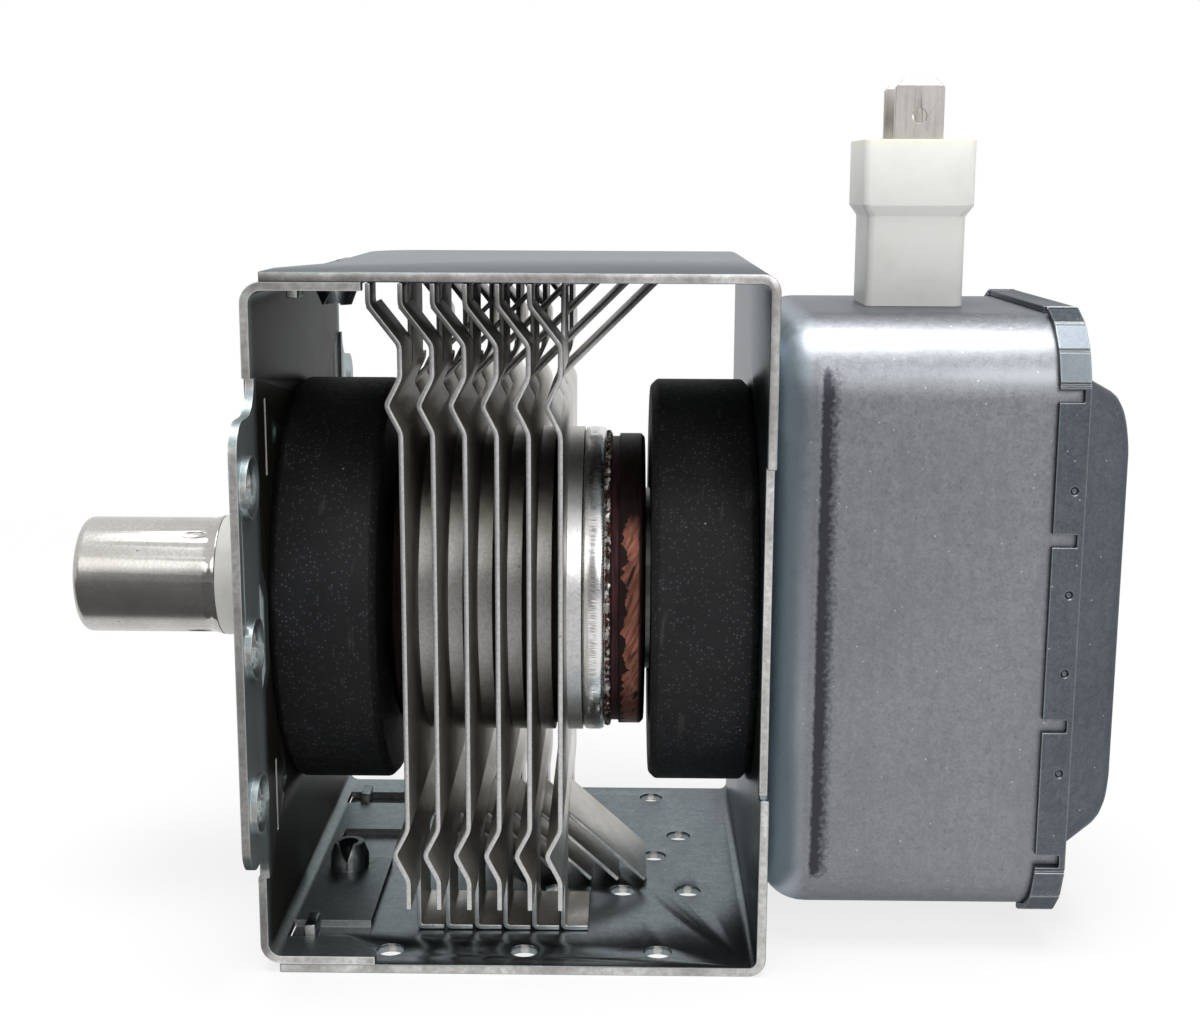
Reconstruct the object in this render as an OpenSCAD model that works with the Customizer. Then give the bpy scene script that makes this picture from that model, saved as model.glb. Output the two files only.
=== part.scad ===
// Microwave-oven magnetron: a vacuum tube with its antenna, ring magnets, cooling fins,
// folded steel yoke and the filter box that carries the two supply terminals.
// Frame: the tube axis is X, the antenna points to -X, the terminals point to +Z.
// The origin is on the tube axis, in the plane of the outer face of the mounting ears.

/* [Yoke] */
// Depth of the yoke and of the fins, along Y
yoke_w = 66; // [56:1:80]
// Outer height of the yoke, leg to leg
yoke_h = 87; // [82:1:100]
// Thickness of the yoke sheet
yoke_t = 1.2; // [0.8:0.1:2]
// Outer radius of the two yoke bends
yoke_bend_r = 2.2; // [1.8:0.2:6]
// Distance from the ear face to the ends of the yoke legs
leg_setback = 1.9; // [1.5:0.1:3.5]
// How far the end of the upper leg is cut back, apart from its near corner
leg_recess = 4.7; // [2:0.1:8]
// Width of the near corner that is left standing
leg_recess_edge = 9; // [6:0.5:12]
// Length along Y over which the cut slopes in
leg_recess_slope = 13; // [6:0.5:16]
// Radius of the far corner of the upper leg
leg_recess_r = 8; // [4:0.5:12]
// Diameter of the round holes in the resting leg
leg_hole_d = 3.5; // [2:0.1:4.5]
// Spacing of the outer row of leg holes
leg_hole_pitch = 17; // [12:0.2:17.4]
// Spacing of the inner row of leg holes
leg_inner_pitch = 9; // [6:0.5:10]
// Distance from the end wall to the last hole of the inner row
leg_inner_end = 8.8; // [6:0.2:12]
// Distance of the inner row from the middle of the leg
leg_inner_y = 8.8; // [6:0.2:12]
// Distance from the end wall to the first single hole
leg_single_x1 = 13.3; // [12:0.1:15]
// Distance of the first single hole from the middle of the leg
leg_single_y1 = 4; // [1:0.5:5]
// Distance from the end wall to the second single hole
leg_single_x2 = 9.5; // [7:0.1:11]
// Distance of the second single hole from the middle of the leg
leg_single_y2 = 12; // [10:0.5:16]
// Depth of the cut-outs in the side edges of the end wall
wall_notch_depth = 2.4; // [1:0.2:5]
// Height of the cut-outs in the side edges of the end wall
wall_notch_h = 41; // [20:1:60]

/* [Mounting plate] */
// Thickness of the plate sheet
plate_t = 1; // [0.8:0.1:2]
// How far the ears lie behind the outer face of the rest of the plate
ear_step = 0.4; // [0.2:0.1:0.6]
// Outer radius of the two flange bends
plate_bend_r = 2.6; // [2.2:0.2:5]
// Length of the end tongues of each flange, from the ear face
tongue_len = 13.8; // [12:0.2:18]
// Length of the middle of each flange, from the ear face
flange_len = 11.8; // [10:0.2:14]
// Width of the end tongues of each flange
tongue_w = 6; // [4:0.5:8]
// Width of the gap between a tongue and the middle of its flange
flange_gap = 5; // [4.6:0.2:7]
// Length of the slanted end of a tongue
tongue_taper = 4; // [2:0.2:6]
// Width of the slanted end of a tongue
tongue_slant = 4.2; // [2:0.2:4.8]
// Distance from the ear face to the notch in the middle of each flange
flange_notch_x = 3.4; // [3:0.2:6]
// Width of that notch
flange_notch_w = 11; // [6:0.5:14]
// How far each ear reaches past the side of the yoke
ear_reach = 10.3; // [9.9:0.1:14]
// Height of each ear
ear_h = 54; // [50:1:58]
// Corner radius of the ears
ear_corner_r = 3.8; // [1:0.2:5]
// Radius of the fillet between ear and plate
ear_fillet_r = 4; // [2:0.2:5]
// Width of the stepped band that each ear keeps inside the side of the yoke
band_w = 1.2; // [0.6:0.2:2]
// Diameter of the screw holes in the ears
ear_hole_d = 5.2; // [4:0.1:5.6]
// Height between neighbouring screw holes of an ear
ear_hole_pitch = 19.1; // [16:0.1:20]
// Distance from the screw holes to the outer edge of their ear
ear_hole_edge = 4.3; // [4.1:0.1:5.5]
// Outer diameter of the flared lip round each screw hole
ear_lip_d = 7.4; // [6.8:0.1:8]
// Height of the flared lip
ear_lip_h = 0.8; // [0.4:0.1:1.5]
// Distance between the lanced slots and the middle of the plate
lance_y = 25; // [22:0.5:27]
// Length of the lanced slots
lance_len = 9.6; // [6:0.2:12]
// Width of the lanced slots
lance_w = 0.9; // [0.5:0.1:1.5]
// Height of the middle of the slots and of the dimples beside them
lance_z = 23; // [20:0.5:26]
// Distance between the dimples and the middle of the plate
plate_dimple_y = 20; // [17:0.5:21]
// Diameter of the dimples
plate_dimple_d = 3; // [2:0.2:4]
// Length of the stiffening rib at the foot of each ear
ear_rib_len = 18.2; // [10:0.2:24]
// Width of that rib
ear_rib_w = 3; // [2:0.2:4]
// Height of that rib
ear_rib_h = 0.7; // [0.3:0.1:1]
// Outer diameter of the torn collar on each flange
stake_d = 5.4; // [4:0.2:6]
// Height of the torn collar
stake_h = 3.6; // [1:0.2:4]
// Thickness of the collar's wall
stake_wall = 0.7; // [0.4:0.1:1]
// Distance from the ear face to the collar
stake_x = 6.2; // [5:0.1:8]
// Distance between the collar and the edge of the flange's notch
stake_edge = 3.2; // [3:0.1:5]
// Width of the tear in the collar's rim
tear_w = 2.2; // [1:0.1:3]
// Width of the lugs of the yoke that pass through the flange gaps
lug_w = 4.2; // [2:0.1:4.4]
// Distance from the ear face to those lugs
lug_x = 3.9; // [2.8:0.1:6]
// Length of those lugs along the leg
lug_len = 1.4; // [1:0.1:4]
// Height of those lugs above the flange
lug_rise = 1.3; // [0.2:0.1:3]

/* [Magnets] */
// Outer diameter of the ring magnets
magnet_d = 55; // [50:1:60]
// Bore of the ring magnets
magnet_bore = 21; // [20.4:0.2:24]
// Thickness of the ring magnets
magnet_t = 13.3; // [10:0.1:16]
// Chamfer of the magnet edges
magnet_chamfer = 0.9; // [0.2:0.1:1.5]

/* [Anode] */
// Outer diameter of the copper anode
anode_d = 40; // [38:0.5:44]
// Wall of the copper anode
anode_wall = 2.5; // [2:0.1:3]
// Length of the copper anode
anode_len = 31.6; // [29:0.2:36]
// Chamfer of the anode's outer edges
anode_chamfer = 0.5; // [0.2:0.1:0.6]
// Number of vanes
vane_count = 10; // [8:2:12]
// Thickness of the vanes
vane_t = 1.9; // [1.2:0.1:2.2]
// Height of the vanes along the axis
vane_h = 9.4; // [8:0.2:11]
// Diameter of the circle through the vane tips
vane_bore = 9; // [8.4:0.2:10]
// Radial width of the strap rings
strap_w = 0.9; // [0.6:0.1:1.2]
// Height of the strap rings
strap_h = 1.3; // [0.8:0.1:1.6]
// Inner radius of the smaller strap ring
strap_r = 6.2; // [5.8:0.1:6.6]
// Radial space between the two strap rings of a side
strap_space = 0.8; // [0.5:0.1:1.2]
// Free space between a strap ring and the vanes that it passes
strap_gap = 0.3; // [0.2:0.05:0.4]

/* [Pole pieces and seals] */
// Sheet thickness of the pole pieces
pole_t = 1.6; // [1:0.1:2]
// Diameter of the bore of the pole pieces
pole_bore = 9.6; // [9:0.2:11]
// Diameter of the flat floor of a pole piece's funnel
pole_floor_d = 14; // [13:0.5:16]
// Diameter of the mouth of a pole piece's funnel
pole_mouth_d = 30; // [26:1:32]
// Space between the pole pieces and the vanes
pole_space = 2.4; // [1.8:0.1:3]
// Depth of the rim of a pole piece inside the end of the anode
pole_rim_t = 1.6; // [1:0.1:2]
// How much wider the seat of a pole piece is than the anode's bore
pole_seat = 1; // [0.4:0.1:1.5]
// Sheet thickness of the seal cups
seal_t = 0.6; // [0.4:0.05:0.8]
// Diameter of the seal flanges
seal_flange_d = 38; // [36:0.5:38.4]
// Diameter of the step that each magnet rests on
seal_step_d = 25; // [24:0.5:27]
// Height of that step above the flange
seal_step_h = 0.7; // [0.4:0.1:1.2]
// Outer diameter of the seal sleeves inside the magnets
seal_sleeve_d = 19.6; // [18.4:0.1:20]
// How far the output sleeve stands out of the plate
seal_stand_out = 1.5; // [0.8:0.1:3]

/* [Antenna] */
// Diameter of the output ceramic
ceramic_d = 16.6; // [16:0.1:17.4]
// Wall of the output ceramic
ceramic_wall = 2.4; // [1.6:0.1:3]
// Length of the output ceramic
ceramic_len = 8.6; // [6:0.2:12]
// Diameter of the antenna cap
cap_d = 15.9; // [15:0.1:16.4]
// Length of the antenna cap
cap_len = 19.4; // [16:0.2:24]
// Length of the flare at the cap's open end
cap_flare = 1.4; // [0.6:0.1:2]
// Wall of the antenna cap
cap_wall = 0.5; // [0.3:0.05:0.8]
// Edge radius of the antenna cap's closed end
cap_tip_r = 1.2; // [0.9:0.1:3]
// Thickness of the exhaust tube's flange under the cap
exhaust_flange_t = 2.2; // [1:0.1:4]
// Diameter of the exhaust tube
exhaust_d = 6.4; // [5:0.1:8]
// Length of the exhaust tube past its flange
exhaust_len = 11; // [8:0.5:13]
// Thickness of the pinched end of the exhaust tube
pinch_t = 1.6; // [1:0.1:3]
// Diameter of the antenna lead
lead_d = 2.4; // [1.6:0.1:3]
// Radius at which the antenna lead stands on its vane
lead_r = 10.6; // [10.2:0.1:11.4]
// How far inside the anode's end the antenna lead turns to the axis
lead_turn = 4; // [3.6:0.1:4.4]
// Outer diameter of the mesh gasket
gasket_d = 33; // [28:0.5:38]
// Thickness of the mesh gasket
gasket_t = 4; // [2:0.2:6]
// Corner radius of the mesh gasket
gasket_r = 0.9; // [0.4:0.1:1]

/* [Cathode] */
// Diameter of the filament coil
filament_d = 4; // [3:0.1:4.4]
// Diameter of the filament wire
filament_wire = 0.5; // [0.4:0.05:0.7]
// Number of filament turns
filament_turns = 9; // [7:1:10]
// Diameter of the end hats
hat_d = 7; // [6:0.1:7.6]
// Thickness of the end hats
hat_t = 1.6; // [1:0.1:2]
// Diameter of the two cathode leads
cathode_lead_d = 1.6; // [1:0.1:1.8]
// Distance of the side lead from the axis
side_lead_y = 2.8; // [2.4:0.1:3]
// Diameter of the stem ceramic
stem_d = 18.6; // [18:0.1:19.4]
// Length of the stem ceramic
stem_len = 9; // [7:0.5:12]
// How far the input sleeve stands into the filter box
stem_stand_out = 4; // [3:0.2:6]
// Thickness of the two stem terminals
stem_tab_t = 0.8; // [0.5:0.1:1.2]
// Width of the two stem terminals
stem_tab_w = 4; // [3:0.2:5]
// Length of the tongue that takes the choke wire
stem_tab_len = 3.4; // [2.6:0.1:4]
// Distance of the tongues from the axis
stem_tab_y = 7; // [5:0.2:8]

/* [Cooling fins] */
// Number of fins
fin_count = 6; // [4:1:6]
// Thickness of the fin sheet
fin_t = 0.6; // [0.4:0.05:0.8]
// Pitch of the fins
fin_pitch = 3.76; // [3.2:0.02:4]
// Distance from the anode's end to the first fin
fin_first = 3; // [2.4:0.1:4]
// Length of the collar that grips the anode
fin_collar_len = 1.9; // [1.2:0.1:2.2]
// Wall of the collar
fin_collar_wall = 0.9; // [0.5:0.1:1.2]
// Width of the ring that holds the stack of fins
stop_ring_w = 2.9; // [2:0.1:4]
// Slope on the edges of that ring
stop_ring_edge = 0.4; // [0.1:0.1:0.6]
// Height at which the stiffening bead of a fin starts
bead_start = 24.6; // [22:0.2:26]
// Height of the bead
bead_h = 6.6; // [5:0.2:7]
// Depth of the bead
bead_depth = 1.7; // [1:0.1:2]
// How far from a fold of the fin's sheet its bend starts
fin_bend = 0.6; // [0.5:0.1:1.2]
// Width of the outer tongues of a fin
outer_tongue_w = 10; // [8:0.5:11]
// Width of the footed tongues of a fin
foot_tongue_w = 11.4; // [9:0.2:12]
// Width of the slits between those tongues
fin_slit = 0.6; // [0.3:0.1:1]
// Width of the space on each side of a fin's middle tongue
mid_gap = 4.2; // [2:0.2:5]
// Gap between a foot that rests on a yoke leg and the next fin
foot_gap = 0.2; // [0.1:0.1:1.5]
// How far the upper middle tongues lean over
mid_lean_top = 12.2; // [8:0.2:12.4]
// How far the lower middle tongues lean over
mid_lean_low = 10.9; // [8:0.1:11.4]
// Length of the upright tips of the upper outer tongues
outer_tip_len = 2.6; // [1.5:0.1:3.5]
// How far the upper outer tongues lean over
outer_lean = 3.6; // [2:0.1:3.8]
// Height over which they lean
outer_rise = 4.6; // [3:0.1:5]
// Width of the narrow tips of the upper outer tongues
outer_tip_w = 5; // [3:0.2:6]

/* [Filter box] */
// Depth of the filter box, along Y
box_w = 52; // [48:1:60]
// Height of the filter box
box_h = 77.6; // [72:0.2:80]
// How far the middle of the filter box lies below the tube's axis
box_drop = 0.8; // [0:0.1:1.5]
// Length of the filter box, from the yoke to the lid
box_len = 37.3; // [36:0.1:44]
// Sheet thickness of the filter box
box_t = 0.8; // [0.6:0.05:1.2]
// Outer radius of the long drawn edges
box_r = 10; // [7:0.5:12]
// Outer radius round the closed end
box_end_r = 6; // [3:0.5:7]
// Sheet thickness of the lid
lid_t = 0.8; // [0.6:0.05:1.2]
// Depth of the lid's folded tabs
tab_depth = 3; // [2.4:0.2:5]
// Gap between neighbouring tabs
tab_gap = 1.6; // [1:0.1:3]
// Height of the middle tab on each long side
tab_h = 22; // [16:0.5:23]
// Diameter of the punch marks that hold the tabs
tab_mark_d = 1.2; // [0.8:0.1:2]
// Height of the inner punch marks from the middle of the lid
tab_mark_inner = 5; // [3:0.5:7]
// Height of the outer punch marks from the middle of the lid
tab_mark_outer = 18; // [15:0.5:21]
// Flats in each corner that the lid is pleated into
corner_pleats = 3; // [2:1:5]
// How far the middle of the lid is raised
lid_rise = 7.6; // [5:0.2:9]
// Margin from the sides of the lid to the raised part
lid_margin_y = 3; // [2:0.5:6]
// Margin from the top and bottom of the lid to the raised part
lid_margin_z = 7; // [5:0.5:12]
// How far the slope of the raised part runs in
lid_slope = 6.4; // [5:0.2:9]
// Corner radius of the raised part
lid_raise_r = 6; // [4:0.5:10]
// Radius of the upper edge of the raised part
lid_shoulder_r = 4; // [2:0.5:5]

/* [Chokes] */
// Diameter of the ferrite cores
core_d = 5.6; // [4.6:0.1:6]
// Length of the ferrite cores
core_len = 26; // [24:0.5:30]
// Diameter of the choke wire
choke_wire = 1.4; // [1:0.1:1.5]
// Number of full turns on a choke
choke_turns = 9; // [7:1:11]
// Distance of the chokes from the middle of the box
choke_y = 15; // [13.4:0.2:17]

/* [Terminals] */
// Distance from the yoke's end wall to the middle of the insulator
insulator_x = 19.7; // [18:0.1:22]
// Width of the insulator's head, along X
head_w = 14.5; // [13.5:0.1:17]
// Width of the insulator's body, along X
insulator_w = 12.7; // [12:0.1:13.3]
// How far the head overhangs the body, along Y
head_over = 0.9; // [0.2:0.1:1]
// Wall between the blades' slots and the sides of the spigot
slot_wall = 0.4; // [0.3:0.05:0.8]
// Height of the insulator's body under the head
insulator_h = 13; // [9:0.5:16]
// Height of the insulator's head
head_h = 8.4; // [6:0.2:10]
// Height of the slope between body and head
head_slope = 1.4; // [0.8:0.1:2]
// Corner radius of the insulator
insulator_r = 1; // [0.6:0.1:2]
// Depth of the insulator's spigot inside the box
spigot_h = 3; // [2:0.2:5]
// Width of the ledge round the spigot
spigot_ledge = 0.7; // [0.5:0.1:1.2]
// Thickness of the earthing plate under the box's wall
earth_plate_t = 1; // [0.6:0.1:1.6]
// Height of the capacitor's inner case
capacitor_h = 9; // [7:0.5:11]
// Width of the blade terminals
blade_w = 6.35; // [4.8:0.05:6.35]
// Thickness of the blade terminals
blade_t = 0.8; // [0.5:0.1:1]
// Height of the blades above the insulator
blade_h = 7.8; // [6:0.2:10]
// Space between the middles of the two blades
blade_space = 9.6; // [8:0.2:11]
// Length of the blades' inner ends, under the capacitor's case
blade_tail = 4; // [3:0.2:6]
// Diameter of the locking hole in each blade
blade_hole_d = 1.9; // [1:0.1:2.4]
// Height of that hole above the insulator
blade_hole_h = 3; // [2:0.1:5]
// Chamfer of the blades' top corners
blade_chamfer = 1.2; // [0.5:0.1:1.8]
// Height of the coined taper at the end of the blades
blade_coin_h = 1; // [0.6:0.1:1.5]
// How much the taper takes off each face of a blade
blade_coin_t = 0.2; // [0.1:0.05:0.25]

/* [Fits] */
// Clearance between pieces that slide or press together
fit = 0.1; // [0.05:0.01:0.2]
// Clearance between round pieces and what they pass through
pass = 0.4; // [0.3:0.05:0.6]

/* [Hidden] */
$fn = 72;
cut = 1;
slice = 0.1;
sweep_sides = 6;
steps_per_turn = 16;
bend_steps = 3;

// Stations along the tube axis, from the plate to the filter box
plate_out = -ear_step;
plate_in = plate_out + plate_t;
anode_x0 = plate_in + magnet_t + seal_step_h + seal_t;
anode_x1 = anode_x0 + anode_len;
magnet2_x0 = anode_x1 + seal_t + seal_step_h;
wall_in = magnet2_x0 + magnet_t;
wall_out = wall_in + yoke_t;
anode_mid = (anode_x0 + anode_x1) / 2;
leg_in = yoke_h / 2 - yoke_t;
flange_in = leg_in - plate_t;
gap_y = yoke_w / 2 - tongue_w - flange_gap / 2;
ear_y = yoke_w / 2 + ear_reach;
step_y = max(yoke_w / 2 - band_w, magnet_d / 2 + fit);
rib_y = max(step_y - ear_rib_w / 2, magnet_d / 2 + fit) + ear_rib_w / 2;
stake_y = -stake_edge;
anode_bore = anode_d - 2 * anode_wall;

// Antenna stations, running outwards to -X
ceramic_x1 = plate_out - seal_stand_out;
ceramic_x0 = ceramic_x1 - ceramic_len;
cap_x0 = ceramic_x0 - cap_len;
exhaust_flange_d = cap_d - 2 * cap_wall;
exhaust_end = ceramic_x0 - exhaust_flange_t - exhaust_len;
pinch_len = exhaust_len / 2;
gasket_bore = seal_sleeve_d + 2 * fit;

// Vanes, straps and pole pieces
vane_half = vane_h / 2;
strap_r2 = strap_r + strap_w + strap_space;
pole_seat_d = anode_bore + 2 * pole_seat;
pole_floor_x = vane_half + pole_space;

// Cathode, whose hats close the ends of the filament just outside the vanes
hat_x = vane_half + strap_gap;
stem_x0 = wall_out + stem_stand_out;
stem_x1 = stem_x0 + stem_len;
lead_end = stem_x1 + stem_tab_t;
stem_rim = (side_lead_y - cathode_lead_d) / 4;

// Cooling fins
fin_x = [for (k = [0 : fin_count - 1]) anode_x0 + fin_first + k * fin_pitch];
fin_last = fin_x[fin_count - 1];
stop_ring_x = fin_last + fin_t / 2 + fin_collar_len + fit;
collar_d = anode_d + 2 * fin_collar_wall;
bead_end = bead_start + bead_h;
bead_mid = bead_start + bead_h / 2;
fin_root = bead_end + fin_bend + fin_t / 2;
fin_tip_z = leg_in - fit;
outer_bend_z = fin_tip_z - outer_tip_len - outer_rise;
foot_len = fin_pitch - fin_t / 2 - foot_gap;
foot_y = yoke_w / 2 - outer_tongue_w - fin_slit - foot_tongue_w / 2;
outer_y = yoke_w / 2 - outer_tongue_w / 2;
mid_tongue_w = 2 * foot_y - foot_tongue_w - 2 * mid_gap;

// Filter box
box_x1 = wall_out + box_len;
box_top = box_h / 2 - box_drop;
box_bore = seal_sleeve_d + 2 * pass;
insulator_mid = wall_out + insulator_x;
blade_y = blade_space / 2;
head_z = box_top + insulator_h;
insulator_top = head_z + head_h;
spigot_w = insulator_w - 2 * spigot_ledge;
spigot_depth = blade_space + blade_t + 2 * fit + 2 * slot_wall;
insulator_depth = spigot_depth + 2 * spigot_ledge;
head_depth = insulator_depth + 2 * head_over;
earth_z = box_top - box_t - earth_plate_t;
capacitor_z0 = earth_z - capacitor_h;
blade_z0 = capacitor_z0 - blade_tail;

// Chokes run from the stem terminals up to the inner ends of the blades
choke_r = (core_d + choke_wire) / 2 + pass;
choke_x = stem_x1 + stem_tab_t + stem_tab_len / 2 + choke_r;
choke_z1 = (blade_z0 + capacitor_z0) / 2;
core_z0 = choke_z1 / 2 - core_len / 2;

vane_names = [for (k = [1 : vane_count]) str("vane_", k)];
fin_names = [for (k = [1 : fin_count]) str("cooling_fin_", k)];

// Unit vector of a direction
function unit(v) = v / norm(v);

// Left-hand normal of a plane direction
function left_of(v) = [-v[1], v[0]];

// Offset direction at one point of a folded sheet's middle line
function mitre(path, i) =
    i == 0 ? left_of(unit(path[1] - path[0])) :
    i == len(path) - 1 ? left_of(unit(path[i] - path[i - 1])) :
    let (a = left_of(unit(path[i] - path[i - 1])), b = left_of(unit(path[i + 1] - path[i])))
    (a + b) / (1 + a * b);

// Outline of a folded sheet with its middle line along a path
function ribbon(path, t) = concat(
    [for (i = [0 : len(path) - 1]) path[i] + mitre(path, i) * t / 2],
    [for (i = [len(path) - 1 : -1 : 0]) path[i] - mitre(path, i) * t / 2]);

// Points of the bend that replaces one corner of a path
function bend(a, b, c, d) = [for (k = [0 : bend_steps])
    let (u = k / bend_steps, p = b + d * unit(a - b), q = b + d * unit(c - b))
    (1 - u) * (1 - u) * p + 2 * u * (1 - u) * b + u * u * q];

// Path with a smooth bend in place of each inner corner
function soft(path, d) = concat([path[0]],
    [for (i = [1 : 1 : len(path) - 2]) each bend(path[i - 1], path[i], path[i + 1], d)],
    [path[len(path) - 1]]);

// Ring of points of a round wire at one point of its path
function wire_ring(path, i, r) =
    let (last = len(path) - 1,
         along = unit(path[min(i + 1, last)] - path[max(i - 1, 0)]),
         side = unit(cross(along, [0, 0, 1])),
         up = cross(side, along))
    [for (k = [0 : sweep_sides - 1])
        path[i] + r * (cos(360 * k / sweep_sides) * side + sin(360 * k / sweep_sides) * up)];

// Extrudes an X-Z outline along Y, centred
module along_y(width) {
    rotate([90, 0, 0]) linear_extrude(width, center = true) children();
}

// Extrudes a Y-Z outline along X
module along_x(x0, length) {
    translate([x0, 0, 0]) rotate([90, 0, 90]) linear_extrude(length) children();
}

// Turns a radius-length profile about the tube axis
module turned(x0 = 0) {
    translate([x0, 0, 0]) rotate([90, 0, 90]) rotate_extrude() children();
}

// Rectangle with round corners, from one corner to the other
module round_rect(low, high, r) {
    translate(low + [r, 0]) square(high - low - [2 * r, 0]);
    translate(low + [0, r]) square(high - low - [0, 2 * r]);
    for (x = [low[0] + r, high[0] - r], y = [low[1] + r, high[1] - r]) translate([x, y]) circle(r);
}

// Sheet folded to a U in the X-Z plane, open on the side beyond the cut
module folded_channel(x0, x1, height, t, r) {
    difference() {
        round_rect([x0, -height / 2], [x1, height / 2], r);
        round_rect([x0 + t, t - height / 2], [x1 - t, height / 2 - t], r - t);
    }
}

// Ring about the tube axis
module ring(x0, length, d_out, d_in) {
    turned(x0) translate([d_in / 2, 0]) square([(d_out - d_in) / 2, length]);
}

// Solid round wire swept along a path that never runs straight up
module wire(path, r) {
    n = sweep_sides;
    last = len(path) - 1;
    points = [for (i = [0 : last]) each wire_ring(path, i, r)];
    sides = [for (i = [0 : last - 1], k = [0 : n - 1])
        let (a = i * n + k, b = i * n + (k + 1) % n) each [[a, b, b + n], [a, b + n, a + n]]];
    ends = [[for (k = [n - 1 : -1 : 0]) k], [for (k = [0 : n - 1]) last * n + k]];
    polyhedron(points, concat(sides, ends), convexity = 10);
}

// Yoke: one steel sheet folded to a U, with its end wall beside the filter box
module leg_holes() {
    outer_y = yoke_w / 2 - leg_hole_d - cut;
    mid_x = (leg_setback + wall_out) / 2;
    for (k = [-1 : 1], s = [-1, 1])
        translate([mid_x + k * leg_hole_pitch, s * outer_y, -yoke_h / 2 - cut])
            cylinder(h = yoke_t + 2 * cut, d = leg_hole_d);
    inner = [for (k = [0 : 2]) [leg_inner_end + k * leg_inner_pitch, -leg_inner_y]];
    single = [[leg_single_x1, leg_single_y1], [leg_single_x2, leg_single_y2]];
    for (place = concat(inner, single))
        translate([wall_out - place[0], place[1], -yoke_h / 2 - cut])
            cylinder(h = yoke_t + 2 * cut, d = leg_hole_d);
}

module yoke_lugs() {
    for (s = [-1, 1], z = [-1, 1])
        translate([lug_x, s * gap_y - lug_w / 2, z > 0 ? flange_in - lug_rise : -leg_in - yoke_t / 2])
            cube([lug_len, lug_w, plate_t + lug_rise + yoke_t / 2]);
}

module upper_leg_cut() {
    x = leg_setback + leg_recess;
    y0 = leg_recess_edge - yoke_w / 2;
    y1 = yoke_w / 2;
    z0 = flange_in - lug_rise - cut;
    translate([0, 0, z0]) linear_extrude(yoke_h / 2 + cut - z0) {
        polygon([[leg_setback - cut, y0], [leg_setback, y0], [x, y0 + leg_recess_slope], [x, y1 + cut],
            [leg_setback - cut, y1 + cut]]);
        translate([x, y1]) difference() {
            translate([-slice, -leg_recess_r]) square([leg_recess_r + slice, leg_recess_r + cut]);
            translate([leg_recess_r, -leg_recess_r]) circle(leg_recess_r);
        }
    }
}

module yoke_frame() {
    color("lightslategray") difference() {
        union() {
            along_y(yoke_w) difference() {
                folded_channel(-yoke_h, wall_out, yoke_h, yoke_t, yoke_bend_r);
                translate([-2 * yoke_h, -yoke_h]) square([2 * yoke_h + leg_setback, 2 * yoke_h]);
            }
            yoke_lugs();
        }
        leg_holes();
        upper_leg_cut();
        for (s = [-1, 1])
            translate([wall_in - cut, s * (yoke_w / 2) - wall_notch_depth, -wall_notch_h / 2])
                cube([yoke_t + 2 * cut, 2 * wall_notch_depth, wall_notch_h]);
        ring(wall_in - cut, yoke_t + 2 * cut, box_bore, 0);
    }
}

// Mounting plate: one steel sheet with two flanges inside the yoke's legs and two screw ears
module ear_outline() {
    round_rect([-ear_y, -ear_h / 2], [ear_y, ear_h / 2], ear_corner_r);
    for (s = [-1, 1], z = [-1, 1]) scale([s, z])
        translate([yoke_w / 2, ear_h / 2]) difference() {
            translate([-band_w, -cut]) square([band_w + ear_fillet_r, cut + ear_fillet_r]);
            translate([ear_fillet_r, ear_fillet_r]) circle(ear_fillet_r);
        }
}

module band_outline() {
    difference() {
        ear_outline();
        square([2 * step_y, yoke_h], center = true);
    }
}

module at_ear_holes() {
    for (s = [-1, 1], k = [-1 : 1])
        translate([0, s * (ear_y - ear_hole_edge), k * ear_hole_pitch]) children();
}

// Cuts that divide each flange: gaps for the yoke's lugs, slanted tongue ends and the middle notch
module flange_cuts() {
    slant_y = yoke_w / 2 - tongue_w;
    for (s = [-1, 1]) scale([1, s]) {
        translate([leg_setback - fit, gap_y - flange_gap / 2]) square([tongue_len, flange_gap]);
        polygon([[tongue_len - tongue_taper, slant_y], [tongue_len + cut, slant_y],
            [tongue_len + cut, slant_y + tongue_slant], [tongue_len, slant_y + tongue_slant]]);
    }
    translate([flange_len, -gap_y]) square([tongue_len, 2 * gap_y]);
    translate([flange_notch_x, 0]) square([tongue_len, flange_notch_w]);
    translate([stake_x, stake_y]) circle(d = stake_d - 2 * stake_wall - fit);
}

// Collar burst upwards through a flange, with a tear in its rim
module flange_stake() {
    r = stake_d / 2;
    difference() {
        rotate_extrude() polygon([[r - stake_wall, -plate_t / 2], [r, -plate_t / 2], [r, stake_h / 2],
            [r - stake_wall, stake_h], [r - 2 * stake_wall, stake_h], [r - stake_wall, stake_h / 2]]);
        rotate([90, 0, 0]) linear_extrude(stake_d)
            polygon([[0, stake_h / 3], [tear_w / 2, stake_h + cut], [-tear_w, stake_h + cut]]);
    }
}

module lances() {
    half = [lance_w, lance_len] / 2;
    for (s = [-1, 1], z = [-1, 1])
        translate([s * lance_y, z * lance_z]) round_rect(-half, half, lance_w / 4);
}

module plate_dimples() {
    for (s = [-1, 1], z = [-1, 1])
        translate([plate_in, s * plate_dimple_y, z * lance_z]) rotate([0, 90, 0])
            cylinder(h = plate_t, d1 = plate_dimple_d - plate_t, d2 = plate_dimple_d + plate_t,
                center = true);
}

// Ribs that stiffen the feet of the ears, tapered towards their ends
module ear_ribs() {
    end = ear_rib_len / 2;
    flat = ear_rib_len / 4;
    for (s = [-1, 1])
        translate([plate_in, s * rib_y, 0]) along_y(ear_rib_w) polygon([[-plate_t / 2, -end], [0, -end],
            [ear_rib_h, -flat], [ear_rib_h, flat], [0, end], [-plate_t / 2, end]]);
}

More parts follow.
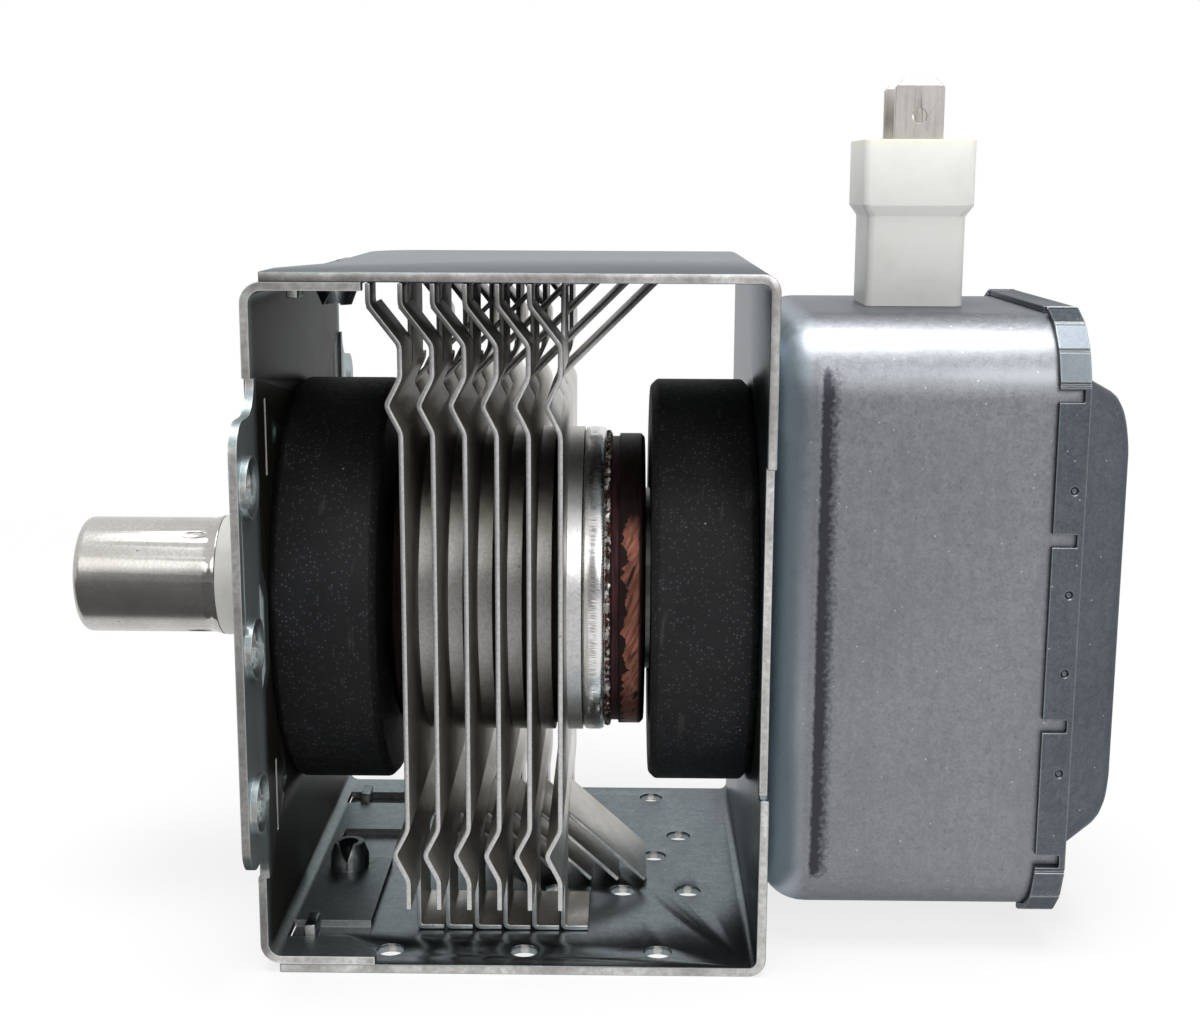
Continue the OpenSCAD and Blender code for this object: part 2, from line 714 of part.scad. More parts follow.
module mounting_plate() {
    color("slategray") difference() {
        union() {
            along_y(yoke_w) difference() {
                folded_channel(plate_out, yoke_h, 2 * leg_in, plate_t, plate_bend_r);
                translate([tongue_len, -yoke_h]) square([2 * yoke_h, 2 * yoke_h]);
            }
            along_x(0, plate_t) band_outline();
            at_ear_holes() turned(plate_t / 2)
                square([ear_lip_d / 2, plate_t / 2 + ear_lip_h]);
            for (z = [-1, 1])
                translate([stake_x, stake_y, z * flange_in]) mirror([0, 0, z > 0 ? 1 : 0]) flange_stake();
            ear_ribs();
        }
        along_x(plate_out - cut, ear_step + cut) band_outline();
        for (z = [-leg_in - cut, flange_in - cut])
            translate([0, 0, z]) linear_extrude(plate_t + 2 * cut) flange_cuts();
        at_ear_holes() turned(-cut) square([ear_hole_d / 2, plate_t + ear_lip_h + 2 * cut]);
        at_ear_holes() turned(plate_t) polygon([[0, 0], [ear_hole_d / 2, 0],
            [ear_lip_d / 2 - fit, ear_lip_h + fit], [0, ear_lip_h + fit]]);
        along_x(plate_out - cut, plate_t + 2 * cut) lances();
        plate_dimples();
        ring(plate_out - cut, plate_t + 2 * cut, seal_sleeve_d + 2 * pass, 0);
    }
}

// Mesh gasket that closes the gap to the waveguide
module rf_gasket() {
    color("silver") turned(plate_out - gasket_t)
        round_rect([gasket_bore / 2, 0], [gasket_d / 2, gasket_t], gasket_r);
}

// Ferrite ring magnets
module magnet(x0) {
    c = magnet_chamfer;
    r = magnet_d / 2;
    color([0.16, 0.16, 0.18]) turned(x0) polygon([[magnet_bore / 2, 0], [r - c, 0], [r, c],
        [r, magnet_t - c], [r - c, magnet_t], [magnet_bore / 2, magnet_t]]);
}

module output_magnet() {
    magnet(plate_in);
}

module input_magnet() {
    magnet(magnet2_x0);
}

// Anode: copper cylinder with a seat for a pole piece in each end, and a lip round each seal's flange
module anode_cylinder() {
    c = anode_chamfer;
    lip_r = seal_flange_d / 2 + fit;
    lip_end = anode_len + seal_t;
    color([0.5, 0.26, 0.18]) turned(anode_x0) polygon([
        [pole_seat_d / 2, 0], [lip_r, 0], [lip_r, -seal_t], [anode_d / 2 - c, -seal_t],
        [anode_d / 2, c - seal_t], [anode_d / 2, lip_end - c], [anode_d / 2 - c, lip_end],
        [lip_r, lip_end], [lip_r, anode_len], [pole_seat_d / 2, anode_len],
        [pole_seat_d / 2, anode_len - pole_rim_t], [anode_bore / 2, anode_len - pole_rim_t],
        [anode_bore / 2, pole_rim_t], [pole_seat_d / 2, pole_rim_t]]);
}

// Groove for one strap ring in a vane's edge, wide and deep where the ring only passes
module strap_groove(r, side, touching) {
    free = touching ? 0 : strap_gap;
    x0 = side > 0 ? vane_half - strap_h - free : -vane_half - cut;
    ring(x0, strap_h + free + cut, 2 * (r + strap_w + free), 2 * (r - free));
}

// Vane: radial copper plate brazed to the anode; the straps join every second one
module vane(k) {
    even = k % 2 == 0;
    color([0.72, 0.42, 0.28]) translate([anode_mid, 0, 0]) difference() {
        intersection() {
            ring(-vane_half, vane_h, anode_bore, vane_bore);
            rotate([360 * k / vane_count, 0, 0])
                translate([-vane_half, -vane_t / 2, 0]) cube([vane_h, vane_t, anode_d]);
        }
        strap_groove(strap_r, -1, even);
        strap_groove(strap_r2, -1, !even);
        strap_groove(strap_r, 1, !even);
        strap_groove(strap_r2, 1, even);
    }
}

// Strap ring that lies in the grooves of the vanes
module strap(r, side) {
    x0 = side > 0 ? vane_half - strap_h : -vane_half;
    color([0.75, 0.5, 0.36]) ring(anode_mid + x0, strap_h, 2 * (r + strap_w), 2 * r);
}

module output_strap_small() {
    strap(strap_r, -1);
}

module output_strap_large() {
    strap(strap_r2, -1);
}

module input_strap_small() {
    strap(strap_r, 1);
}

module input_strap_large() {
    strap(strap_r2, 1);
}

// Pole piece: dished iron disc that leads the field to the gap round the cathode
module pole_profile() {
    rim = anode_len / 2;
    polygon([[pole_bore / 2, pole_floor_x], [pole_floor_d / 2, pole_floor_x],
        [pole_mouth_d / 2, rim - pole_rim_t], [pole_seat_d / 2, rim - pole_rim_t], [pole_seat_d / 2, rim],
        [pole_mouth_d / 2 - pole_t, rim], [pole_floor_d / 2 - pole_t / 2, pole_floor_x + pole_t],
        [pole_bore / 2, pole_floor_x + pole_t]]);
}

module output_pole_piece() {
    color("gray") difference() {
        translate([anode_mid, 0, 0]) mirror([1, 0, 0]) turned() pole_profile();
        translate([anode_x0 - cut, 0, lead_r]) rotate([0, 90, 0])
            cylinder(h = anode_len / 2, d = lead_d + 2 * pass);
    }
}

module input_pole_piece() {
    color("gray") translate([anode_mid, 0, 0]) turned() pole_profile();
}

// Seal cup: thin flanged sleeve that runs from the anode's end out through a magnet
module seal_profile(length, seat_d) {
    step = seal_t + seal_step_h;
    polygon([[seal_step_d / 2 - seal_t, 0], [seal_flange_d / 2, 0], [seal_flange_d / 2, seal_t],
        [seal_step_d / 2, seal_t], [seal_step_d / 2, step], [seal_sleeve_d / 2, step],
        [seal_sleeve_d / 2, length - seal_t], [seat_d / 2, length], [seat_d / 2 - ceramic_wall, length],
        [seat_d / 2 - ceramic_wall, length - seal_t], [seal_sleeve_d / 2 - seal_t, length - 2 * seal_t],
        [seal_sleeve_d / 2 - seal_t, seal_step_h], [seal_step_d / 2 - seal_t, seal_step_h]]);
}

module output_seal() {
    color("silver") translate([anode_x0, 0, 0]) mirror([1, 0, 0]) turned()
        seal_profile(anode_x0 - ceramic_x1, ceramic_d);
}

module input_seal() {
    color("silver") turned(anode_x1) seal_profile(stem_x0 - anode_x1, stem_d);
}

// Antenna: ceramic window, exhaust tube with its pinched end, lead and cap
module output_ceramic() {
    color("white") ring(ceramic_x0, ceramic_len, ceramic_d, ceramic_d - 2 * ceramic_wall);
}

module exhaust_tube() {
    color([0.78, 0.5, 0.35]) difference() {
        union() {
            ring(ceramic_x0 - exhaust_flange_t, exhaust_flange_t, exhaust_flange_d, 0);
            ring(exhaust_end + pinch_len / 2, exhaust_len - pinch_len / 2, exhaust_d, 0);
            translate([exhaust_end, -exhaust_d / 2, -pinch_t / 2]) cube([pinch_len, exhaust_d, pinch_t]);
        }
        ring(exhaust_end + pinch_len, exhaust_len, lead_d, 0);
    }
}

module antenna_lead() {
    bend_x0 = anode_x0 + lead_turn;
    bend_x1 = bend_x0 - lead_r;
    path = [[exhaust_end + pinch_len, 0, 0], [bend_x1, 0, 0], [bend_x0, 0, lead_r],
        [anode_mid - vane_half, 0, lead_r]];
    color([0.8, 0.52, 0.38]) wire(path, lead_d / 2);
}

module antenna_cap() {
    color("gainsboro") turned(cap_x0) difference() {
        union() {
            translate([0, cap_tip_r]) square([cap_d / 2, cap_len - cap_tip_r]);
            square([cap_d / 2 - cap_tip_r, cap_tip_r]);
            translate([cap_d / 2 - cap_tip_r, cap_tip_r]) intersection() {
                circle(cap_tip_r);
                translate([0, -cap_tip_r]) square(cap_tip_r);
            }
            polygon([[0, cap_len - cap_flare], [cap_d / 2, cap_len - cap_flare], [ceramic_d / 2, cap_len],
                [0, cap_len]]);
        }
        translate([-cut, cap_wall]) square([cap_d / 2 - cap_wall + cut, cap_len]);
        translate([-cut, -cut]) square([cut, cap_len + 2 * cut]);
    }
}

// Cathode: helical filament between two hats, carried by the centre and side leads
module filament() {
    r = (filament_d - filament_wire) / 2;
    length = 2 * hat_x - filament_wire;
    count = filament_turns * steps_per_turn;
    path = [for (i = [0 : count]) [r * cos(360 * i / steps_per_turn), r * sin(360 * i / steps_per_turn),
        length * (i / count - 0.5)]];
    color([0.35, 0.35, 0.38]) translate([anode_mid, 0, 0]) rotate([0, 90, 0])
        wire(path, filament_wire / 2);
}

module output_end_hat() {
    color("dimgray") ring(anode_mid - hat_x - hat_t, hat_t, hat_d, 0);
}

module input_end_hat() {
    color("dimgray") ring(anode_mid + hat_x, hat_t, hat_d, cathode_lead_d + 2 * pass);
}

module centre_lead() {
    x0 = anode_mid - hat_x;
    color("dimgray") ring(x0, lead_end - x0, cathode_lead_d, 0);
}

module side_lead() {
    x0 = anode_mid + hat_x + hat_t;
    color("dimgray") translate([0, -side_lead_y, 0]) ring(x0, lead_end - x0, cathode_lead_d, 0);
}

module stem_ceramic() {
    color("white") difference() {
        ring(stem_x0, stem_len, stem_d, 0);
        ring(stem_x0 - cut, stem_len + 2 * cut, cathode_lead_d, 0);
        translate([0, -side_lead_y, 0]) ring(stem_x0 - cut, stem_len + 2 * cut, cathode_lead_d, 0);
    }
}

// Terminal strip on the stem: a foot round its lead and a tongue that takes the choke wire
module stem_terminal(lead_y, side) {
    past = cathode_lead_d / 2 + stem_rim;
    low = side > 0 ? lead_y - past : -stem_tab_y;
    high = side > 0 ? stem_tab_y : lead_y + past;
    tongue = side > 0 ? stem_tab_y - stem_tab_t : -stem_tab_y;
    color("silver") difference() {
        union() {
            translate([stem_x1, low, -stem_tab_w / 2]) cube([stem_tab_t, high - low, stem_tab_w]);
            translate([stem_x1, tongue, -stem_tab_w / 2])
                cube([stem_tab_t + stem_tab_len, stem_tab_t, stem_tab_w]);
        }
        translate([0, lead_y, 0]) ring(stem_x1 - cut, stem_tab_t + 2 * cut, cathode_lead_d, 0);
    }
}

module stem_terminal_1() {
    stem_terminal(0, 1);
}

module stem_terminal_2() {
    stem_terminal(-side_lead_y, -1);
}

// Cooling fin: sheet with two stiffening beads whose ends are slit into bent tongues
module fin_sheet(path, y, width) {
    translate([0, y, 0]) along_y(width) polygon(ribbon(soft(path, fin_bend), fin_t));
}

module fin_body() {
    difference() {
        fin_sheet([[0, -fin_root], [0, -bead_end], [-bead_depth, -bead_mid], [0, -bead_start],
            [0, bead_start], [-bead_depth, bead_mid], [0, bead_end], [0, fin_root]], 0, yoke_w);
        translate([-2 * bead_depth, -mid_tongue_w / 2 - fin_slit, (bead_start + bead_mid) / 2])
            cube([4 * bead_depth, mid_tongue_w + 2 * fin_slit, bead_h]);
    }
}

module fin_foot(y, side) {
    fin_sheet([[0, side * (bead_end + fin_bend)], [0, side * (fin_tip_z - fin_t / 2)],
        [foot_len, side * (fin_tip_z - fin_t / 2)]], y, foot_tongue_w);
}

// Middle tongues: the upper ones leave the bead at its crest, the lower ones below it
module fin_mid_tongues() {
    tip_z = fin_tip_z - fin_t;
    crest = [-bead_depth, bead_mid];
    slope_root = [0, bead_start] + (crest - [0, bead_start]) * 2 / 5;
    fin_sheet([slope_root, crest, [mid_lean_top, tip_z]], 0, mid_tongue_w);
    fin_sheet([[0, -bead_end - fin_bend], [mid_lean_low, -tip_z]], 0, mid_tongue_w);
}

module fin_outer_tongue(side_y) {
    bent = outer_bend_z + outer_rise;
    y = side_y * outer_y;
    fin_sheet([[0, bead_end + fin_bend], [0, outer_bend_z], [-outer_lean, bent]], y, outer_tongue_w);
    fin_sheet([[-outer_lean / 2, bent - outer_rise / 2], [-outer_lean, bent], [-outer_lean, fin_tip_z]],
        side_y * (yoke_w - outer_tip_w) / 2, outer_tip_w);
    fin_sheet([[0, -bead_end - fin_bend], [0, -outer_bend_z]], y, outer_tongue_w);
}

module cooling_fin(x) {
    color("lightgray") translate([x, 0, 0]) difference() {
        union() {
            fin_body();
            for (s = [-1, 1], z = [-1, 1]) fin_foot(s * foot_y, z);
            fin_mid_tongues();
            for (s = [-1, 1]) fin_outer_tongue(s);
            ring(0, fin_t / 2 + fin_collar_len, collar_d, anode_d);
        }
        ring(-fin_t, 2 * fin_t + fin_collar_len, anode_d, 0);
    }
}

module fin_stop_ring() {
    c = stop_ring_edge;
    color("gainsboro") turned(stop_ring_x) polygon([[anode_d / 2, 0], [collar_d / 2 - c, 0],
        [collar_d / 2, c], [collar_d / 2, stop_ring_w - c], [collar_d / 2 - c, stop_ring_w],
        [anode_d / 2, stop_ring_w]]);
}

// Filter box: drawn steel box, open towards its lid
module drawn_box(x0, x1, w, h, r, end_r) {
    hull() {
        for (y = [-1, 1], z = [-1, 1]) translate([0, y * (w / 2 - r), z * (h / 2 - r)])
            turned(x0, $fn = 40) {
                translate([0, end_r]) square([r, x1 - x0 - end_r]);
                square([r - end_r, end_r]);
                translate([r - end_r, end_r]) intersection() {
                    circle(end_r);
                    translate([0, -end_r]) square(end_r);
                }
            }
    }
}

module filter_box() {
    color("lightsteelblue") difference() {
        translate([0, 0, -box_drop]) difference() {
            drawn_box(wall_out, box_x1, box_w, box_h, box_r, box_end_r);
            drawn_box(wall_out + box_t, box_x1 + cut, box_w - 2 * box_t, box_h - 2 * box_t, box_r - box_t,
                box_end_r - box_t);
        }
        ring(wall_out - cut, box_t + 2 * cut, box_bore, 0);
        translate([insulator_mid, 0, box_top - box_t - cut]) linear_extrude(box_t + 2 * cut)
            spigot_outline(fit);
    }
}

// Lid: pressed plate with a raised middle, held by tabs that are folded over the box
module lid_outline(grow) {
    r = box_r + grow;
    half_flat = 45 / (corner_pleats + 1);
    hull() {
        for (y = [-1, 1], z = [-1, 1]) translate([y * (box_w / 2 - box_r), z * (box_h / 2 - box_r)])
            rotate(half_flat) circle(r / cos(half_flat), $fn = 4 * (corner_pleats + 1));
    }
}

module lid_raise(grow, x0) {
    w = box_w / 2 - lid_margin_y - grow;
    h = box_h / 2 - lid_margin_z - grow;
    top = x0 + lid_rise - slice;
    hull() {
        along_x(x0, slice) round_rect([-w, -h], [w, h], lid_raise_r);
        for (a = [30 : 15 : 90]) {
            inset = lid_slope - lid_shoulder_r * cos(a);
            along_x(top - lid_shoulder_r * (1 - sin(a)), slice)
                round_rect([inset - w, inset - h], [w - inset, h - inset], lid_raise_r);
        }
    }
}

module tab_gaps() {
    z_gap = tab_h / 2 + tab_gap / 2;
    z_corner = box_h / 2 - box_r + tab_gap / 2;
    y_corner = box_w / 2 - box_r + tab_gap / 2;
    for (z = [-z_corner, -z_gap, z_gap, z_corner])
        translate([box_x1 - tab_depth - cut, -box_w, z - tab_gap / 2])
            cube([tab_depth + cut, 2 * box_w, tab_gap]);
    for (y = [-y_corner, y_corner])
        translate([box_x1 - tab_depth - cut, y - tab_gap / 2, -box_h])
            cube([tab_depth + cut, tab_gap, 2 * box_h]);
}

module tab_marks() {
    out = box_w / 2 + fit / 2 + lid_t;
    for (z = [-tab_mark_outer, -tab_mark_inner, tab_mark_inner, tab_mark_outer], y = [-1, 1])
        translate([box_x1 - tab_mark_d / 2, y * out, z]) rotate([y * 90, 0, 0]) translate([0, 0, -slice])
            cylinder(h = lid_t / 2 + slice, d1 = tab_mark_d, d2 = tab_mark_d / 2);
}

module filter_lid() {
    color("lightsteelblue") translate([0, 0, -box_drop]) difference() {
        union() {
            along_x(box_x1, lid_t) lid_outline(lid_t + fit / 2);
            difference() {
                along_x(box_x1 - tab_depth, tab_depth + lid_t) difference() {
                    lid_outline(lid_t + fit / 2);
                    lid_outline(fit / 2);
                }
                tab_gaps();
            }
            lid_raise(0, box_x1 + lid_t);
        }
        lid_raise(lid_t, box_x1);
        tab_marks();
    }
}

// Chokes: ferrite rods with a copper coil, between the stem terminals and the blades
module choke_core(side) {
    color([0.2, 0.2, 0.21]) translate([choke_x, side * choke_y, core_z0]) cylinder(h = core_len, d = core_d);
}

module choke_coil(side) {
    turns = choke_turns + 0.5;
    count = ceil(turns * steps_per_turn);
    turn_path = [for (i = [0 : count]) let (angle = 180 - 360 * turns * i / count)
        [choke_x + choke_r * cos(angle), choke_y + choke_r * sin(angle), choke_z1 * i / count]];
    path = concat([[choke_x - choke_r, stem_tab_y, 0]], turn_path,
        [[choke_x + choke_r, blade_y + blade_t / 2, choke_z1]]);
    color([0.7, 0.36, 0.2]) mirror([0, side < 0 ? 1 : 0, 0]) wire(path, choke_wire / 2);
}

module choke_core_1() {
    choke_core(1);
}

module choke_core_2() {
    choke_core(-1);
}

module choke_coil_1() {
    choke_coil(1);
}

module choke_coil_2() {
    choke_coil(-1);
}

// Terminal block: moulded insulator on the box, earthing plate and capacitor case inside it
module block_outline(w, d, r) {
    round_rect([-w / 2, -d / 2], [w / 2, d / 2], r);
}

module spigot_outline(grow) {
    block_outline(spigot_w + 2 * grow, spigot_depth + 2 * grow, insulator_r / 2);
}

module blade_slots(z0, z1) {
    for (s = [-1, 1])
        translate([insulator_mid - blade_w / 2 - fit, s * blade_y - blade_t / 2 - fit, z0])
            cube([blade_w + 2 * fit, blade_t + 2 * fit, z1 - z0]);
}

module terminal_insulator() {
    color("white") difference() {
        translate([insulator_mid, 0, 0]) union() {
            translate([0, 0, box_top - spigot_h]) linear_extrude(spigot_h + cut) spigot_outline(0);
            translate([0, 0, box_top]) linear_extrude(insulator_h)
                block_outline(insulator_w, insulator_depth, insulator_r);
            hull() {
                translate([0, 0, head_z - head_slope]) linear_extrude(slice)
                    block_outline(insulator_w, insulator_depth, insulator_r);
                translate([0, 0, head_z]) linear_extrude(slice)
                    block_outline(head_w, head_depth, insulator_r);
            }
            translate([0, 0, head_z]) linear_extrude(head_h) block_outline(head_w, head_depth, insulator_r);
        }
        blade_slots(box_top - spigot_h - cut, insulator_top + cut);
    }
}

module earth_plate() {
    color("silver") translate([insulator_mid, 0, earth_z]) linear_extrude(earth_plate_t) difference() {
        block_outline(insulator_w, insulator_depth, insulator_r);
        spigot_outline(fit);
    }
}

module capacitor_case() {
    color([0.25, 0.3, 0.36]) difference() {
        translate([insulator_mid, 0, capacitor_z0]) difference() {
            linear_extrude(capacitor_h) block_outline(insulator_w, insulator_depth, insulator_r);
            translate([0, 0, capacitor_h - spigot_h]) linear_extrude(spigot_h + cut) spigot_outline(fit);
        }
        blade_slots(capacitor_z0 - cut, earth_z + cut);
    }
}

module terminal_blade(side) {
    top = insulator_top + blade_h;
    half = blade_w / 2;
    c = blade_chamfer;
    color("lightgray") translate([insulator_mid, side * blade_y, 0]) difference() {
        along_y(blade_t) polygon([[-half, blade_z0], [half, blade_z0], [half, top - c], [half - c, top],
            [c - half, top], [-half, top - c]]);
        translate([0, 0, insulator_top + blade_hole_h]) rotate([90, 0, 0])
            cylinder(h = 2 * blade_t, d = blade_hole_d, center = true);
        for (s = [-1, 1]) along_x(-blade_w, 2 * blade_w)
            polygon([[s * blade_t / 2, top - blade_coin_h],
                [s * (blade_t / 2 - 2 * blade_coin_t), top + blade_coin_h],
                [s * blade_t, top + blade_coin_h], [s * blade_t, top - blade_coin_h]]);
    }
}

module terminal_blade_1() {
    terminal_blade(1);
}

module terminal_blade_2() {
    terminal_blade(-1);
}

yoke_frame();
mounting_plate();
rf_gasket();
output_magnet();
input_magnet();
anode_cylinder();
for (k = [1 : vane_count])
    vane(k);
output_strap_small();
output_strap_large();
input_strap_small();
input_strap_large();
output_pole_piece();
input_pole_piece();
output_seal();
input_seal();
output_ceramic();
exhaust_tube();
antenna_lead();
antenna_cap();
filament();
output_end_hat();
input_end_hat();
centre_lead();
side_lead();
stem_ceramic();
stem_terminal_1();
stem_terminal_2();
for (k = [1 : fin_count])
    cooling_fin(fin_x[k - 1]);
fin_stop_ring();
filter_box();
filter_lid();
choke_core_1();
choke_core_2();
choke_coil_1();
choke_coil_2();
terminal_insulator();
earth_plate();
capacitor_case();
terminal_blade_1();
terminal_blade_2();
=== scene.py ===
"""Microwave-oven magnetron, dressed piece by piece in the order in which it is put together."""
import math

import bpy
from mathutils import Matrix, Vector


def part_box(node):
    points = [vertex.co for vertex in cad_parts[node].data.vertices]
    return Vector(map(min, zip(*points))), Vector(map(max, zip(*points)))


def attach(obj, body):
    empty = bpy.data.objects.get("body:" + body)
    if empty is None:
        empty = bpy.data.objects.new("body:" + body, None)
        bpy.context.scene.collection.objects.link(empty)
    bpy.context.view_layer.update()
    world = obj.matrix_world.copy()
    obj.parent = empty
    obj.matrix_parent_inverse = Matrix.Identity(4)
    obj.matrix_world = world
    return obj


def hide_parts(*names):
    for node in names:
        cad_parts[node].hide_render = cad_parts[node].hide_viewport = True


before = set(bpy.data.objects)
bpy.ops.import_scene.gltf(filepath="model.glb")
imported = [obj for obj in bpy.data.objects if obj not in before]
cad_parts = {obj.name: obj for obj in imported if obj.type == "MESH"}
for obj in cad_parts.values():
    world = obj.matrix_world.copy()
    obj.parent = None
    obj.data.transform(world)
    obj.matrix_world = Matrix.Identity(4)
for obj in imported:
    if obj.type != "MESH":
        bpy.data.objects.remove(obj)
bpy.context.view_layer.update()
bpy.context.scene.view_settings.view_transform = "Standard"


# Anode: a short copper cylinder, turned on a lathe and darkened in the brazing furnace. The fins
# and a stop ring are pressed on, so it shows only at its input end, where a turned groove leaves a
# lip that was scraped bare. Its vanes and straps are punched copper, brazed inside.
MM = 0.001


def feed(tree, socket, value):
    if isinstance(value, bpy.types.NodeSocket):
        tree.links.new(value, socket)
    else:
        socket.default_value = value


def add(tree, kind, inputs=None, **settings):
    made = tree.nodes.new(kind)
    for key, value in settings.items():
        setattr(made, key, value)
    for key, value in (inputs or {}).items():
        feed(tree, made.inputs[key], value)
    return made


def mixed(tree, mask, first, second):
    made = add(tree, "ShaderNodeMix", {0: mask}, data_type="RGBA")
    for socket, value in ((made.inputs[6], first), (made.inputs[7], second)):
        feed(tree, socket, (*value, 1.0) if isinstance(value, tuple) else value)
    return made.outputs[2]


def ranged(tree, value, low, high, out_low=0.0, out_high=1.0):
    made = add(tree, "ShaderNodeMapRange", {0: value, 1: low, 2: high, 3: out_low, 4: out_high})
    return made.outputs[0]


def maths(tree, operation, first, second=0.0, clamp=True):
    made = add(tree, "ShaderNodeMath", {0: first, 1: second}, operation=operation, use_clamp=clamp)
    return made.outputs[0]


def effect(name, inputs, outputs):
    tree = bpy.data.node_groups.new(name, "ShaderNodeTree")
    for label, value in inputs.items():
        kind = "NodeSocketVector" if isinstance(value, tuple) else "NodeSocketFloat"
        tree.interface.new_socket(label, in_out="INPUT", socket_type=kind).default_value = value
    for label in outputs:
        tree.interface.new_socket(label, in_out="OUTPUT", socket_type="NodeSocketFloat")
    return tree, tree.nodes.new("NodeGroupInput").outputs, tree.nodes.new("NodeGroupOutput").inputs


def place(tree, group, **inputs):
    made = add(tree, "ShaderNodeGroup", node_tree=group)
    for label, value in inputs.items():
        feed(tree, made.inputs[label.capitalize()], value)
    return made.outputs[0]


def here(tree):
    return add(tree, "ShaderNodeTexCoord").outputs["Object"]


def axis_of(tree, vector, axis):
    return add(tree, "ShaderNodeSeparateXYZ", {0: vector}).outputs[axis]


def band(tree, value, low, high, soft):
    """Mask that is full from low to high and fades over soft on both sides."""
    rise = ranged(tree, value, low - soft, low)
    fall = ranged(tree, value, high, high + soft, 1.0, 0.0)
    return maths(tree, "MULTIPLY", rise, fall)


def material(name, metallic=0.0, roughness=0.5):
    made = bpy.data.materials.new(name)
    made.use_nodes = True
    shader = made.node_tree.nodes["Principled BSDF"]
    shader.inputs["Metallic"].default_value = metallic
    shader.inputs["Roughness"].default_value = roughness
    return made, made.node_tree, shader.inputs


def bumped(tree, height, strength, depth):
    made = add(tree, "ShaderNodeBump", {"Height": height, "Strength": strength, "Distance": depth * MM})
    return made.outputs[0]


# Long fine marks of rolling, turning or brushing: noise stretched along one direction
marks_tree, given, out = effect("tool_marks", {"Stretch": (1.0, 1.0, 1.0), "Scale": 900.0}, ["Marks"])
drawn_out = add(marks_tree, "ShaderNodeVectorMath", {0: here(marks_tree), 1: given["Stretch"]},
                operation="MULTIPLY")
marks = add(marks_tree, "ShaderNodeTexNoise",
            {"Vector": drawn_out.outputs[0], "Scale": given["Scale"], "Detail": 4.0})
feed(marks_tree, out["Marks"], ranged(marks_tree, marks.outputs["Fac"], 0.3, 0.7))

# Uneven stains, oxide and handling marks in soft patches
stain_tree, given, out = effect("stains", {"Scale": 60.0, "Low": 0.45, "High": 0.7}, ["Stain"])
patches = add(stain_tree, "ShaderNodeTexNoise",
              {"Vector": here(stain_tree), "Scale": given["Scale"], "Detail": 5.0, "Roughness": 0.6})
feed(stain_tree, out["Stain"], ranged(stain_tree, patches.outputs["Fac"], given["Low"], given["High"]))


def only(piece):
    bpy.ops.object.select_all(action="DESELECT")
    piece.select_set(True)
    bpy.context.view_layer.objects.active = piece


def merged_copy(node):
    """Copies a CAD node and joins its loose triangles to whole faces."""
    made = bpy.data.objects.new(node + "_finished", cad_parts[node].data.copy())
    bpy.context.scene.collection.objects.link(made)
    only(made)
    bpy.ops.object.mode_set(mode="EDIT")
    bpy.ops.mesh.select_all(action="SELECT")
    bpy.ops.mesh.remove_doubles(threshold=0.002 * MM)
    bpy.ops.mesh.dissolve_limited(angle_limit=math.radians(0.4))
    bpy.ops.object.mode_set(mode="OBJECT")
    return made


def apply_modifier(piece, kind, **settings):
    made = piece.modifiers.new(kind.lower(), kind)
    for key, value in settings.items():
        setattr(made, key, value)
    only(piece)
    bpy.ops.object.modifier_apply(modifier=made.name)


def hand_over(piece, slot, look, *nodes, edge=0.0, smooth=32.0):
    """Breaks a piece's edges, shades it and lets it stand for its CAD nodes."""
    if edge:
        apply_modifier(piece, "BEVEL", width=edge * MM, segments=2, limit_method="ANGLE",
                       angle_limit=math.radians(smooth), use_clamp_overlap=False)
    only(piece)
    bpy.ops.object.shade_smooth_by_angle(angle=math.radians(smooth))
    piece.data.materials.clear()
    piece.data.materials.append(look)
    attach(piece, "root")
    if nodes:
        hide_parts(*nodes)


def dress(look, *names):
    for name in names:
        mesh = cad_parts[name].data
        mesh.materials.clear()
        mesh.materials.append(look)


def pick_faces(piece, test):
    """Goes into edit mode with only those faces selected whose middle and normal pass a test."""
    only(piece)
    bpy.ops.object.mode_set(mode="EDIT")
    bpy.ops.mesh.select_mode(type="FACE")
    bpy.ops.mesh.select_all(action="DESELECT")
    bpy.ops.object.mode_set(mode="OBJECT")
    for face in piece.data.polygons:
        face.select = test(face.center, face.normal)
    bpy.ops.object.mode_set(mode="EDIT")


anode_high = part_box("anode_cylinder")[1]
anode_r = anode_high.y
ring_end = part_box("fin_stop_ring")[1].x
groove_x = ring_end + 0.8 * MM
lip_x = groove_x + 1.0 * MM
groove_depth = 0.4 * MM
anode = merged_copy("anode_cylinder")
for cut_x in (groove_x, lip_x):
    only(anode)
    bpy.ops.object.mode_set(mode="EDIT")
    bpy.ops.mesh.select_all(action="SELECT")
    bpy.ops.mesh.bisect(plane_co=(cut_x, 0.0, 0.0), plane_no=(1.0, 0.0, 0.0))
    bpy.ops.object.mode_set(mode="OBJECT")
pick_faces(anode, lambda spot, normal: groove_x < spot.x < lip_x
           and math.hypot(spot.y, spot.z) > 0.98 * anode_r)
bpy.ops.mesh.extrude_region_shrink_fatten(TRANSFORM_OT_shrink_fatten={"value": -groove_depth})
bpy.ops.object.mode_set(mode="OBJECT")

